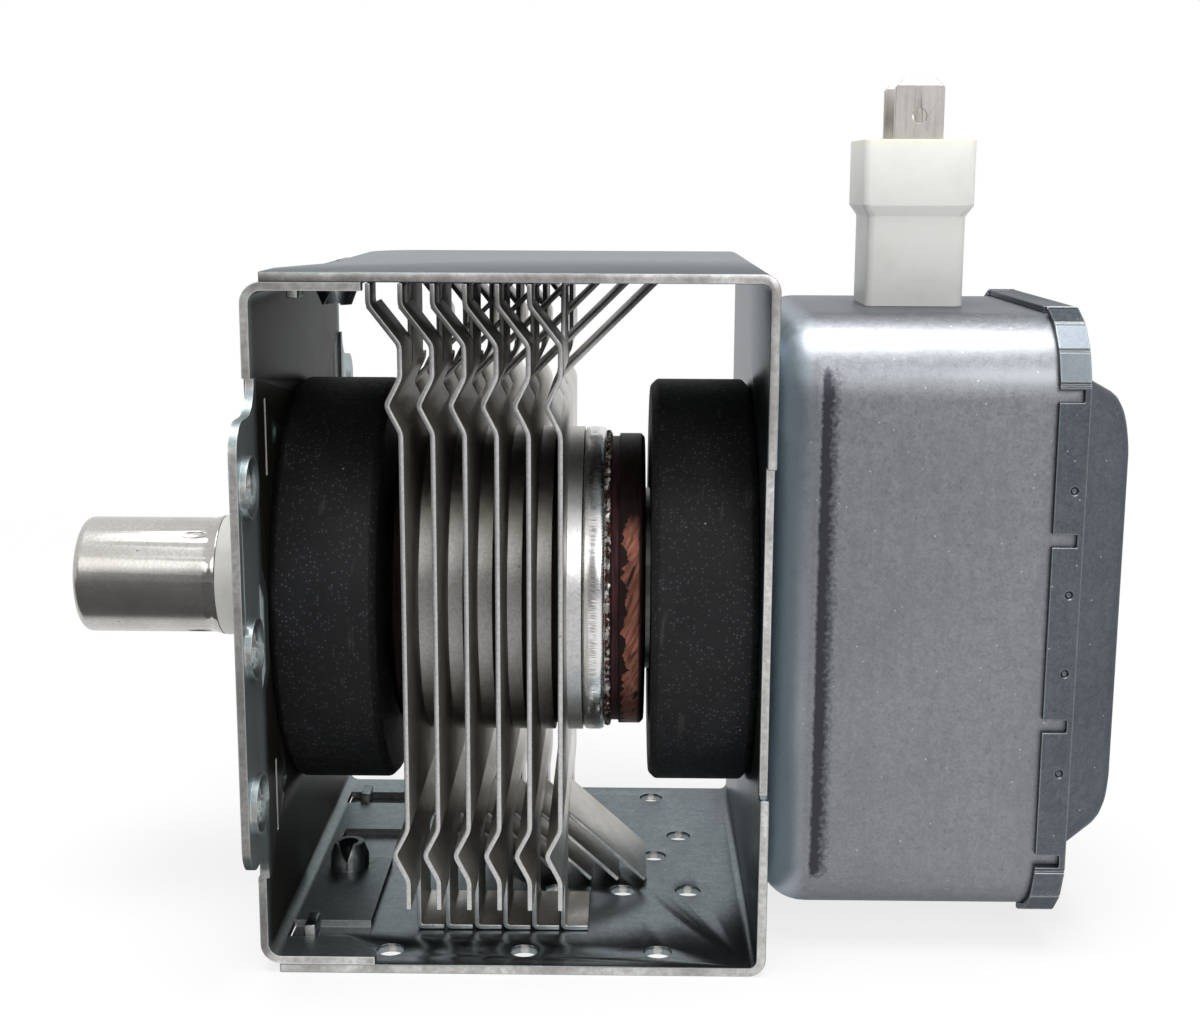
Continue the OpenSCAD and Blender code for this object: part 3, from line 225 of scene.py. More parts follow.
copper, tree, sockets = material("darkened_copper", metallic=0.8)
along = axis_of(tree, here(tree), "X")
lathe = place(tree, marks_tree, stretch=(1.0, 0.1, 0.1), scale=2600.0)
ragged = place(tree, marks_tree, stretch=(0.3, 1.0, 1.0), scale=520.0)
slant = add(tree, "ShaderNodeMapping",
            {"Vector": here(tree), "Rotation": (0.0, 0.44, 0.0), "Scale": (1.0, 2.0, 8.0)},
            vector_type="TEXTURE")
scrape = add(tree, "ShaderNodeTexNoise", {"Vector": slant.outputs[0], "Scale": 2400.0, "Detail": 3.0})
gouges = add(tree, "ShaderNodeTexNoise", {"Vector": slant.outputs[0], "Scale": 900.0, "Detail": 1.0})
start = maths(tree, "ADD", maths(tree, "MULTIPLY", ragged, 1.5 * MM), lip_x - 0.1 * MM)
bared = ranged(tree, maths(tree, "SUBTRACT", along, start), 0.0, 0.06 * MM)
to_end = ranged(tree, along, anode_high.x - 1.0 * MM, anode_high.x - 0.7 * MM, 1.0, 0.0)
below_top = ranged(tree, axis_of(tree, here(tree), "Z"), 10.0 * MM, 12.0 * MM, 1.0, 0.0)
bared = maths(tree, "MULTIPLY", bared, to_end)
bared = maths(tree, "MULTIPLY", bared, below_top)
bared = maths(tree, "MULTIPLY", bared, ranged(tree, gouges.outputs["Fac"], 0.34, 0.4))
scraped = mixed(tree, ranged(tree, scrape.outputs["Fac"], 0.35, 0.65),
                (0.12, 0.043, 0.03), (0.29, 0.115, 0.078))
in_groove = band(tree, along, groove_x, lip_x, 0.1 * MM)
crust = mixed(tree, lathe, (0.01, 0.006, 0.006), (0.026, 0.014, 0.013))
crust = mixed(tree, in_groove, crust, mixed(tree, lathe, (0.075, 0.027, 0.03), (0.012, 0.007, 0.008)))
feed(tree, sockets["Base Color"], mixed(tree, bared, crust, scraped))
feed(tree, sockets["Roughness"], ranged(tree, bared, 0.0, 1.0, 0.55, 0.4))
feed(tree, sockets["Normal"], bumped(tree, mixed(tree, bared, lathe, scrape.outputs["Fac"]), 0.5, 0.1))
hand_over(anode, "copper", copper, "anode_cylinder", edge=0.12)

fresh_copper, tree, sockets = material("furnace_copper", metallic=0.9)
blush = place(tree, stain_tree, scale=220.0)
feed(tree, sockets["Base Color"], mixed(tree, blush, (0.5, 0.25, 0.16), (0.36, 0.15, 0.09)))
feed(tree, sockets["Roughness"], ranged(tree, blush, 0.0, 1.0, 0.3, 0.5))
vanes = [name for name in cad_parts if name.startswith("vane_")]
straps = [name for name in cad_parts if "_strap_" in name]
dress(fresh_copper, *vanes, *straps, "exhaust_tube", "antenna_lead")


# Pole pieces, cathode and seals: soft iron discs pressed from sheet, a tungsten coil between two
# hats, and drawn cups of a sealing alloy. All of them are closed inside the magnets and the anode.


def finish_node(node, slot, look, edge=0.0, smooth=32.0):
    hand_over(merged_copy(node), slot, look, node, edge=edge, smooth=smooth)


iron, tree, sockets = material("soft_iron", metallic=0.9)
skin = place(tree, stain_tree, scale=180.0)
feed(tree, sockets["Base Color"], mixed(tree, skin, (0.3, 0.3, 0.31), (0.2, 0.2, 0.2)))
feed(tree, sockets["Roughness"], ranged(tree, skin, 0.0, 1.0, 0.4, 0.6))
dress(iron, "output_pole_piece", "input_pole_piece")

tungsten, tree, sockets = material("burnt_tungsten", metallic=0.8)
burn = place(tree, stain_tree, scale=400.0)
feed(tree, sockets["Base Color"], mixed(tree, burn, (0.24, 0.24, 0.26), (0.09, 0.09, 0.1)))
feed(tree, sockets["Roughness"], ranged(tree, burn, 0.0, 1.0, 0.45, 0.7))
dress(tungsten, "filament", "output_end_hat", "input_end_hat", "centre_lead", "side_lead")

seal_alloy, tree, sockets = material("seal_alloy", metallic=1.0)
drawn = place(tree, marks_tree, stretch=(0.15, 1.0, 1.0), scale=1500.0)
feed(tree, sockets["Base Color"], mixed(tree, drawn, (0.5, 0.49, 0.47), (0.36, 0.35, 0.34)))
feed(tree, sockets["Roughness"], ranged(tree, drawn, 0.0, 1.0, 0.3, 0.45))
dress(seal_alloy, "stem_terminal_1", "stem_terminal_2", "earth_plate")
finish_node("output_seal", "seal_alloy", seal_alloy)
finish_node("input_seal", "seal_alloy", seal_alloy)


# Ceramics: pressed and fired alumina, ground on the ends and left with a faintly grained skin.
# One insulates the antenna from the tube and shows as the white ring behind the cap.
alumina, tree, sockets = material("fired_alumina", roughness=0.42)
grain = add(tree, "ShaderNodeTexNoise", {"Vector": here(tree), "Scale": 2400.0, "Detail": 3.0})
smear = place(tree, stain_tree, scale=150.0, low=0.5, high=0.8)
feed(tree, sockets["Base Color"], mixed(tree, smear, (0.56, 0.56, 0.53), (0.44, 0.435, 0.4)))
feed(tree, sockets["Normal"], bumped(tree, grain.outputs["Fac"], 0.25, 0.05))
finish_node("output_ceramic", "alumina", alumina, edge=0.3)
dress(alumina, "stem_ceramic")


# Antenna cap: a stainless steel cup drawn over the pinched exhaust tube. It is satin from
# tumbling, polished where it flares to the ceramic, and held by three crimps behind the flare.


def carve(piece, cutter):
    """Cuts one mesh out of a piece and deletes the cutter."""
    apply_modifier(piece, "BOOLEAN", operation="DIFFERENCE", solver="EXACT", object=cutter)
    bpy.data.objects.remove(cutter)


# Small specks, each in its own cell, with most of the cells left empty
speck_tree, given, out = effect("specks", {"Scale": 900.0, "Size": 0.2, "Share": 0.8}, ["Specks"])
cells = add(speck_tree, "ShaderNodeTexVoronoi", {"Vector": here(speck_tree), "Scale": given["Scale"]})
inside = maths(speck_tree, "SUBTRACT", given["Size"], cells.outputs["Distance"])
near = ranged(speck_tree, inside, 0.0, 0.06)
tone = add(speck_tree, "ShaderNodeSeparateColor", {0: cells.outputs["Color"]})
kept = maths(speck_tree, "GREATER_THAN", tone.outputs[0], given["Share"])
feed(speck_tree, out["Specks"], maths(speck_tree, "MULTIPLY", near, kept))

cap_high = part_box("antenna_cap")[1]
cap_r = 7.95 * MM
flare_x = cap_high.x - 1.4 * MM
crimp_x = flare_x - 1.9 * MM
crimp_shape = (1.8, 0.62, 0.42)
crimp_lift = 0.12 * MM
cap = merged_copy("antenna_cap")
for turn in (55.0, -65.0, 175.0):
    outward = Vector((0.0, -math.cos(math.radians(turn)), math.sin(math.radians(turn))))
    bpy.ops.object.select_all(action="DESELECT")
    bpy.ops.mesh.primitive_uv_sphere_add(segments=24, ring_count=16, radius=1.0 * MM)
    crimp = bpy.context.active_object
    crimp.scale = crimp_shape
    crimp.rotation_euler = (math.radians(90.0 - turn), 0.0, 0.0)
    crimp.location = Vector((crimp_x, 0.0, 0.0)) + (cap_r + crimp_lift) * outward
    bpy.ops.object.transform_apply()
    carve(cap, crimp)
cap_steel, tree, sockets = material("satin_cap_steel", metallic=1.0)
along = axis_of(tree, here(tree), "X")
tumble = add(tree, "ShaderNodeTexNoise",
             {"Vector": here(tree), "Scale": 2600.0, "Detail": 4.0, "Roughness": 0.7})
rubbed = place(tree, stain_tree, scale=160.0, low=0.42, high=0.72)
nicks = place(tree, speck_tree, scale=620.0, size=0.12, share=0.94)
satin = mixed(tree, ranged(tree, tumble.outputs["Fac"], 0.35, 0.65),
              (0.44, 0.43, 0.405), (0.54, 0.53, 0.505))
satin = mixed(tree, ranged(tree, rubbed, 0.0, 1.0, 0.0, 0.6), satin, (0.37, 0.35, 0.32))
polished = ranged(tree, along, flare_x - 0.5 * MM, flare_x)
feed(tree, sockets["Base Color"], mixed(tree, nicks, satin, (0.16, 0.15, 0.14)))
feed(tree, sockets["Roughness"], ranged(tree, polished, 0.0, 1.0, 0.27, 0.12))
feed(tree, sockets["Normal"], bumped(tree, tumble.outputs["Fac"], 0.12, 0.02))
hand_over(cap, "cap_steel", cap_steel, "antenna_cap", edge=0.1)


# Cooling fins: aluminium sheet, punched, slit and bent in one press stroke, each with a drawn
# collar that grips the anode. The cut edges are bright and grained, the faces carry rolling marks.


def facing(tree, axis):
    normal = add(tree, "ShaderNodeNewGeometry").outputs["Normal"]
    return axis_of(tree, normal, axis)


fin_metal, tree, sockets = material("rolled_aluminium", metallic=1.0)
rolled = place(tree, marks_tree, stretch=(1.0, 1.0, 0.08), scale=1600.0)
oil = place(tree, stain_tree, scale=90.0, low=0.42, high=0.7)
glints = add(tree, "ShaderNodeTexNoise", {"Vector": here(tree), "Scale": 2600.0, "Detail": 3.0})
sparkle = glints.outputs["Fac"]
nicks = place(tree, speck_tree, scale=700.0, size=0.14, share=0.9)
cut_edge = ranged(tree, maths(tree, "ABSOLUTE", facing(tree, "Y")), 0.7, 0.9)
face = mixed(tree, oil, mixed(tree, rolled, (0.8, 0.79, 0.76), (0.66, 0.65, 0.62)), (0.5, 0.47, 0.41))
sheared = mixed(tree, ranged(tree, sparkle, 0.35, 0.65), (0.46, 0.46, 0.46), (0.58, 0.58, 0.58))
sheared = mixed(tree, ranged(tree, nicks, 0.0, 1.0, 0.0, 0.6), sheared, (0.16, 0.15, 0.15))
clean_fin = mixed(tree, cut_edge, face, sheared)
# Towards the top the fins darken to a dull grey: painted shade where the yoke's top leg shades the tongues.
top_shade_start = 32.0 * MM
top_shade_full = 37.0 * MM
painted_top_shade = ranged(tree, axis_of(tree, here(tree), "Z"), top_shade_start, top_shade_full, 0.0, 0.75)
feed(tree, sockets["Base Color"], mixed(tree, painted_top_shade, clean_fin, (0.13, 0.125, 0.12)))
sockets["Roughness"].default_value = 0.38
feed(tree, sockets["Normal"], bumped(tree, mixed(tree, cut_edge, rolled, sparkle), 0.3, 0.05))
for number in range(1, 7):
    finish_node("cooling_fin_%d" % number, "fin_aluminium", fin_metal, edge=0.1)


# Stop ring: a bright hoop rolled against the last fin, scratched round and across. Pressing it on
# has peeled a crumbly burr off the anode, which stays as a rough band beside it.
ring_metal, tree, sockets = material("scratched_ring", metallic=1.0)
tilted = add(tree, "ShaderNodeMapping",
             {"Vector": here(tree), "Rotation": (0.0, 0.12, 0.0), "Scale": (16.0, 1.0, 1.0)},
             vector_type="TEXTURE")
brushed = add(tree, "ShaderNodeTexNoise", {"Vector": tilted.outputs[0], "Scale": 7000.0, "Detail": 2.0})
ring_mid = (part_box("fin_stop_ring")[0].x + ring_end) / 2
worn_band = band(tree, axis_of(tree, here(tree), "X"), ring_mid - 0.25 * MM, ring_mid + 0.1 * MM, 0.5 * MM)
scored = ranged(tree, brushed.outputs["Fac"], 0.42, 0.6)
dark_scratch = maths(tree, "MULTIPLY", maths(tree, "MULTIPLY", worn_band, scored), 0.75)
feed(tree, sockets["Base Color"], mixed(tree, dark_scratch, (0.74, 0.735, 0.73), (0.17, 0.14, 0.15)))
feed(tree, sockets["Roughness"], ranged(tree, scored, 0.0, 1.0, 0.16, 0.28))
feed(tree, sockets["Normal"], bumped(tree, brushed.outputs["Fac"], 0.08, 0.02))
finish_node("fin_stop_ring", "fin_aluminium", ring_metal, edge=0.35)

burr_metal, tree, sockets = material("crumbled_burr", metallic=0.9)
chips = add(tree, "ShaderNodeTexVoronoi", {"Vector": here(tree), "Scale": 1800.0})
chip_tone = add(tree, "ShaderNodeSeparateColor", {0: chips.outputs["Color"]})
bright_chips = ranged(tree, chip_tone.outputs[0], 0.5, 0.62)
feed(tree, sockets["Base Color"], mixed(tree, bright_chips, (0.1, 0.042, 0.03), (0.5, 0.48, 0.46)))
feed(tree, sockets["Roughness"], ranged(tree, chip_tone.outputs[1], 0.0, 1.0, 0.35, 0.7))
bpy.ops.object.select_all(action="DESELECT")
burr_r = 0.3 * MM
bpy.ops.mesh.primitive_torus_add(major_radius=anode_r + 0.02 * MM, minor_radius=burr_r,
                                 major_segments=420, minor_segments=8,
                                 rotation=(0.0, math.radians(90.0), 0.0),
                                 location=(ring_end + burr_r, 0.0, 0.0))
burr = bpy.context.active_object
burr.name = "anode_burr"
bpy.ops.object.transform_apply()
bpy.ops.object.mode_set(mode="EDIT")
bpy.ops.mesh.select_all(action="SELECT")
bpy.ops.transform.vertex_random(offset=0.2 * MM, uniform=0.4, normal=0.5, seed=4)
bpy.ops.mesh.quads_convert_to_tris()
bpy.ops.object.mode_set(mode="OBJECT")
hand_over(burr, "copper", burr_metal, smooth=20.0)


# Magnets: two rings of pressed and sintered ferrite, matt black with a fine grain, pale grinding
# dust, a few chips and scratches. They sit round the seal cups and are held by the yoke's pull.

# Edges that handling has rubbed, found where a rounded normal leaves the face's own
edge_tree, given, out = effect("worn_edges", {"Width": 0.0004, "Gain": 6.0}, ["Edge"])
rounded = add(edge_tree, "ShaderNodeBevel", {"Radius": given["Width"]}, samples=4)
plain = add(edge_tree, "ShaderNodeNewGeometry")
agree = add(edge_tree, "ShaderNodeVectorMath", {0: rounded.outputs[0], 1: plain.outputs["Normal"]},
            operation="DOT_PRODUCT")
apart = maths(edge_tree, "SUBTRACT", 1.0, agree.outputs["Value"])
feed(edge_tree, out["Edge"], maths(edge_tree, "MULTIPLY", apart, given["Gain"]))

ferrite, tree, sockets = material("sintered_ferrite", roughness=0.62)
fine = add(tree, "ShaderNodeTexNoise",
           {"Vector": here(tree), "Scale": 1500.0, "Detail": 6.0, "Roughness": 0.7})
grit = place(tree, speck_tree, scale=2300.0, size=0.34, share=0.55)
dust = place(tree, speck_tree, scale=420.0, size=0.07, share=0.88)
rub = place(tree, stain_tree, scale=70.0, low=0.5, high=0.75)
scuffs = place(tree, marks_tree, stretch=(1.0, 0.4, 0.12), scale=700.0)
edge = place(tree, edge_tree, width=0.0008, gain=3.0)
black = mixed(tree, fine.outputs["Fac"], (0.003, 0.003, 0.0035), (0.011, 0.0115, 0.013))
grey = mixed(tree, rub, black, (0.015, 0.0155, 0.017))
gritty = maths(tree, "MULTIPLY", grit, ranged(tree, rub, 0.0, 1.0, 0.35, 0.9))
grey = mixed(tree, gritty, grey, (0.07, 0.073, 0.082))
grey = mixed(tree, ranged(tree, scuffs, 0.88, 1.0, 0.0, 0.35), grey, (0.045, 0.045, 0.045))
grey = mixed(tree, edge, grey, (0.03, 0.03, 0.031))
feed(tree, sockets["Base Color"], mixed(tree, dust, grey, (0.3, 0.3, 0.3)))
feed(tree, sockets["Roughness"], ranged(tree, fine.outputs["Fac"], 0.3, 0.7, 0.5, 0.75))
feed(tree, sockets["Normal"], bumped(tree, fine.outputs["Fac"], 0.5, 0.1))
sockets["Specular IOR Level"].default_value = 0.2
finish_node("output_magnet", "ferrite", ferrite, edge=0.25)
finish_node("input_magnet", "ferrite", ferrite, edge=0.25)


# Yoke: one strip of zinc-coated steel, punched and folded to a U. Its faces show a fine spangle
# and pale handling marks, its sheared edges bare steel with a burnished and a torn zone.
spangle_tree, given, out = effect("zinc_spangle", {"Scale": 900.0}, ["Tone"])
where = here(spangle_tree)
wobble = add(spangle_tree, "ShaderNodeTexNoise", {"Vector": where, "Scale": 600.0, "Detail": 2.0})
shifted = add(spangle_tree, "ShaderNodeVectorMath",
              {0: wobble.outputs["Color"], 1: (0.0015, 0.0015, 0.0015), 2: where}, operation="MULTIPLY_ADD")
crystal = add(spangle_tree, "ShaderNodeTexVoronoi", {"Vector": shifted.outputs[0], "Scale": given["Scale"]})
shade = add(spangle_tree, "ShaderNodeSeparateColor", {0: crystal.outputs["Color"]})
flecks = add(spangle_tree, "ShaderNodeTexNoise", {"Vector": where, "Scale": 3400.0, "Detail": 3.0})
fleck = ranged(spangle_tree, flecks.outputs["Fac"], 0.35, 0.65)
half = maths(spangle_tree, "MULTIPLY", shade.outputs[0], 0.4)
rest = maths(spangle_tree, "MULTIPLY", fleck, 0.6)
feed(spangle_tree, out["Tone"], maths(spangle_tree, "ADD", half, rest))


def zinc_steel(name, light, dark, rough, streaks, edge_axis=None):
    """Zinc-coated sheet: spangle in two tones, streaks, dull patches, pale dots and rubbed edges."""
    made, tree, sockets = material(name, metallic=1.0)
    sockets["Specular Tint"].default_value = (0.5, 0.51, 0.53, 1.0)
    crystals = place(tree, spangle_tree, scale=1300.0)
    drawn_lines = place(tree, marks_tree, stretch=streaks, scale=1100.0)
    dull = place(tree, stain_tree, scale=38.0, low=0.4, high=0.75)
    dots = place(tree, speck_tree, scale=1100.0, size=0.13, share=0.86)
    rubs = place(tree, edge_tree, width=0.0003, gain=4.0)
    base = mixed(tree, crystals, dark, light)
    base = mixed(tree, ranged(tree, drawn_lines, 0.5, 1.0, 0.0, 0.4), base, dark)
    base = mixed(tree, ranged(tree, dull, 0.0, 1.0, 0.0, 0.35), base, tuple(0.75 * part for part in dark))
    base = mixed(tree, ranged(tree, dots, 0.0, 1.0, 0.0, 0.6), base, (0.75, 0.78, 0.8))
    base = mixed(tree, ranged(tree, rubs, 0.0, 1.0, 0.0, 0.7), base, (0.55, 0.57, 0.58))
    smoothness = ranged(tree, maths(tree, "ADD", crystals, dull), 0.0, 1.4, rough - 0.06, rough + 0.1)
    if edge_axis:
        sheared_side = ranged(tree, maths(tree, "ABSOLUTE", facing(tree, edge_axis)), 0.93, 0.98)
        torn = place(tree, stain_tree, scale=1500.0, low=0.35, high=0.65)
        burnt = place(tree, stain_tree, scale=120.0, low=0.4, high=0.62)
        bare = mixed(tree, torn, (0.74, 0.735, 0.72), (0.5, 0.49, 0.475))
        bare = mixed(tree, ranged(tree, burnt, 0.0, 1.0, 0.0, 0.6), bare, (0.24, 0.22, 0.205))
        bare = mixed(tree, ranged(tree, rubs, 0.1, 0.5), bare, (0.86, 0.86, 0.85))
        base = mixed(tree, sheared_side, base, bare)
        smoothness = ranged(tree, sheared_side, 0.0, 1.0, rough, 0.42)
    feed(tree, sockets["Base Color"], base)
    feed(tree, sockets["Roughness"], smoothness)
    feed(tree, sockets["Normal"], bumped(tree, crystals, 0.12, 0.03))
    return made


yoke_zinc = zinc_steel("yoke_zinc", (0.29, 0.325, 0.34), (0.18, 0.205, 0.215), 0.27, (0.15, 1.0, 1.0), "Y")
finish_node("yoke_frame", "galvanised_steel", yoke_zinc, edge=0.15)


# Mounting plate: the same coated sheet, with two screw ears, torn collars and flanges that lie inside
# the yoke's legs. Its inner face within the yoke is darkened with painted shade.
plate_zinc = zinc_steel("plate_zinc", (0.34, 0.385, 0.39), (0.22, 0.255, 0.26), 0.42, (1.0, 1.0, 0.15), "Y")
tree = plate_zinc.node_tree
sockets = tree.nodes["Principled BSDF"].inputs
plain_zinc = sockets["Base Color"].links[0].from_socket
spread = add(tree, "ShaderNodeSeparateXYZ", {0: here(tree)}).outputs
off_axis = maths(tree, "ABSOLUTE", spread["Y"])
inward = ranged(tree, facing(tree, "X"), 0.85, 0.95)
ear_root = 32.5 * MM
inner_shade_edge = 30.5 * MM
soft_edge = 1.5 * MM
on_ear = maths(tree, "MULTIPLY", inward, ranged(tree, off_axis, ear_root, ear_root + soft_edge))
covered = ranged(tree, off_axis, inner_shade_edge, inner_shade_edge + soft_edge, 1.0, 0.0)
behind = maths(tree, "MULTIPLY", inward, covered)
# The inward face nearer the axis than the ears is darkened to a dull brown-grey: painted shade inside the
# yoke.
inner_shade = place(tree, stain_tree, scale=45.0, low=0.25, high=0.6)
inner_shade = maths(tree, "MULTIPLY", behind, ranged(tree, inner_shade, 0.0, 1.0, 0.75, 0.95))
inner_shaded = mixed(tree, inner_shade, plain_zinc, (0.085, 0.075, 0.06))
pale_ear = ranged(tree, on_ear, 0.0, 1.0, 0.0, 0.6)
feed(tree, sockets["Base Color"], mixed(tree, pale_ear, inner_shaded, (0.72, 0.8, 0.8)))
finish_node("mounting_plate", "galvanised_steel", plate_zinc)


# Gasket: a ring of knitted wire round the antenna's foot, soft enough to be pressed tight between
# the plate and the oven's waveguide.
gasket_low, gasket_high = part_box("rf_gasket")
gasket_in = 9.9 * MM
wire = 0.24 * MM
gasket_mid = (gasket_high.y + gasket_in) / 2
gasket_half = (gasket_high.y - gasket_in) / 2 - wire / 2
gasket_flat = ((gasket_high.x - gasket_low.x) / 2 - wire / 2) / gasket_half


def ring_of_gasket(name, half, turns, sides):
    bpy.ops.object.select_all(action="DESELECT")
    bpy.ops.mesh.primitive_torus_add(major_radius=gasket_mid, minor_radius=half, major_segments=turns,
                                     minor_segments=sides, rotation=(0.0, math.radians(90.0), 0.0),
                                     location=((gasket_low.x + gasket_high.x) / 2, 0.0, 0.0))
    made = bpy.context.active_object
    made.name = name
    made.scale = (1.0, 1.0, gasket_flat)
    bpy.ops.object.transform_apply()
    return made


gasket = ring_of_gasket("knitted_gasket", gasket_half, 84, 18)
bpy.ops.object.mode_set(mode="EDIT")
bpy.ops.mesh.select_all(action="SELECT")
bpy.ops.mesh.poke()
bpy.ops.mesh.tris_convert_to_quads(face_threshold=math.pi, shape_threshold=math.pi)
bpy.ops.transform.vertex_random(offset=0.12 * MM, uniform=1.0, normal=0.2, seed=7)
bpy.ops.object.mode_set(mode="OBJECT")
apply_modifier(gasket, "WIREFRAME", thickness=wire, use_even_offset=False)
core = ring_of_gasket("gasket_core", 0.82 * gasket_half, 84, 14)
only(gasket)
core.select_set(True)
bpy.ops.object.join()
knit, tree, sockets = material("knitted_wire", metallic=1.0, roughness=0.38)
wire_tone = place(tree, stain_tree, scale=500.0)
depth = add(tree, "ShaderNodeTexNoise", {"Vector": here(tree), "Scale": 1900.0, "Detail": 2.0})
feed(tree, sockets["Base Color"], mixed(tree, wire_tone, (0.55, 0.54, 0.52), (0.3, 0.29, 0.28)))
feed(tree, sockets["Normal"], bumped(tree, depth.outputs["Fac"], 0.3, 0.1))
hand_over(gasket, "mesh_wire", knit, "rf_gasket", smooth=50.0)


# Filter box: a deep cup drawn from coated sheet, riveted to the yoke's end wall. The draw has left
# a scuffed line where the closed end's radius meets each side. The closed end carries a painted highlight.
box_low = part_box("filter_box")[0]
box_zinc = zinc_steel("box_zinc", (0.285, 0.296, 0.312), (0.2, 0.208, 0.222), 0.4, (1.0, 1.0, 0.12))
tree = box_zinc.node_tree
sockets = tree.nodes["Principled BSDF"].inputs
plain_zinc = sockets["Base Color"].links[0].from_socket
along = axis_of(tree, here(tree), "X")
scuff_start = box_low.x + 5.9 * MM
scuff_rise = ranged(tree, along, scuff_start - 0.3 * MM, scuff_start + 0.3 * MM)
scuff_fall = ranged(tree, along, scuff_start + 0.6 * MM, scuff_start + 2.6 * MM, 1.0, 0.0)
scuff_side = ranged(tree, maths(tree, "ABSOLUTE", facing(tree, "Y")), 0.9, 0.97)
scuff = maths(tree, "MULTIPLY", maths(tree, "MULTIPLY", scuff_rise, scuff_fall), scuff_side)
scuff_grit = add(tree, "ShaderNodeTexNoise", {"Vector": here(tree), "Scale": 1700.0, "Detail": 3.0})
scuff = maths(tree, "SUBTRACT", maths(tree, "MULTIPLY", scuff, 0.95), scuff_grit.outputs["Fac"], False)
# Faces of the closed end that turn towards -X are lightened to a pale blue: a painted highlight.
turned = ranged(tree, facing(tree, "X"), -0.85, -0.12, 0.95, 0.0)
end_highlighted = mixed(tree, turned, plain_zinc, (0.7, 0.8, 0.88))
streaked = mixed(tree, ranged(tree, scuff, -0.38, 0.22, 0.0, 0.97), end_highlighted, (0.045, 0.045, 0.055))
feed(tree, sockets["Base Color"], streaked)
finish_node("filter_box", "galvanised_steel", box_zinc, smooth=40.0)


# Chokes: enamelled copper wire wound on ferrite rods, from the stem's terminals to the blades.
enamel, tree, sockets = material("enamelled_wire", metallic=0.7, roughness=0.3)
varnish = place(tree, stain_tree, scale=320.0)
feed(tree, sockets["Base Color"], mixed(tree, varnish, (0.42, 0.17, 0.07), (0.3, 0.11, 0.05)))
dress(enamel, "choke_coil_1", "choke_coil_2")
dress(ferrite, "choke_core_1", "choke_core_2")


# Terminal insulator: a white moulded block on top of the box, slightly yellowed on its crown, over
# a feed-through capacitor in a dark moulded case.
insulator_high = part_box("terminal_insulator")[1]
insulator, tree, sockets = material("moulded_white", roughness=0.42)
pores = add(tree, "ShaderNodeTexNoise", {"Vector": here(tree), "Scale": 1800.0, "Detail": 3.0})
handled = place(tree, stain_tree, scale=110.0, low=0.48, high=0.8)
crown = ranged(tree, axis_of(tree, here(tree), "Z"),
               insulator_high.z - 1.2 * MM, insulator_high.z, 0.0, 0.7)
white = mixed(tree, handled, (0.7, 0.7, 0.67), (0.62, 0.615, 0.58))
feed(tree, sockets["Base Color"], mixed(tree, crown, white, (0.72, 0.71, 0.55)))
feed(tree, sockets["Normal"], bumped(tree, pores.outputs["Fac"], 0.2, 0.06))
finish_node("terminal_insulator", "insulator_white", insulator, edge=0.15)

case_plastic, tree, sockets = material("capacitor_plastic", roughness=0.55)
mould = place(tree, stain_tree, scale=300.0)
feed(tree, sockets["Base Color"], mixed(tree, mould, (0.05, 0.07, 0.09), (0.03, 0.04, 0.05)))
dress(case_plastic, "capacitor_case")


# Blade terminals: tin-plated brass strip with a locking hole and a coined end, brushed lengthwise.
# Receptacles pushed on and off have worn a groove from the end down to the hole.
hole_drop = 4.8 * MM
groove_w = 0.5 * MM
groove_off = 0.25 * MM
groove_over = 0.1 * MM
tin, tree, sockets = material("tinned_blade", metallic=1.0)
brushed = place(tree, marks_tree, stretch=(1.0, 1.0, 0.06), scale=2400.0)
dulled = place(tree, stain_tree, scale=200.0, low=0.4, high=0.7)
bright = mixed(tree, brushed, (0.54, 0.52, 0.5), (0.45, 0.43, 0.41))
feed(tree, sockets["Base Color"], mixed(tree, dulled, bright, (0.39, 0.367, 0.347)))
feed(tree, sockets["Roughness"], ranged(tree, brushed, 0.0, 1.0, 0.3, 0.45))
feed(tree, sockets["Normal"], bumped(tree, brushed, 0.2, 0.04))
for number, side in ((1, 1.0), (2, -1.0)):
    blade_low, blade_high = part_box("terminal_blade_%d" % number)
    blade = merged_copy("terminal_blade_%d" % number)
    face_y = blade_high.y if side > 0 else blade_low.y
    bpy.ops.object.select_all(action="DESELECT")
    bpy.ops.mesh.primitive_cone_add(vertices=20, radius1=1.1 * groove_w, radius2=0.7 * groove_w,
                                    depth=hole_drop,
                                    location=((blade_low.x + blade_high.x) / 2, face_y + side * groove_off,
                                              blade_high.z - hole_drop / 2 + groove_over))
    wear = bpy.context.active_object
    wear.scale = (1.0, 0.6, 1.0)
    bpy.ops.object.transform_apply()
    carve(blade, wear)
    hand_over(blade, "blade_tin", tin, "terminal_blade_%d" % number, edge=0.08, smooth=12.0)


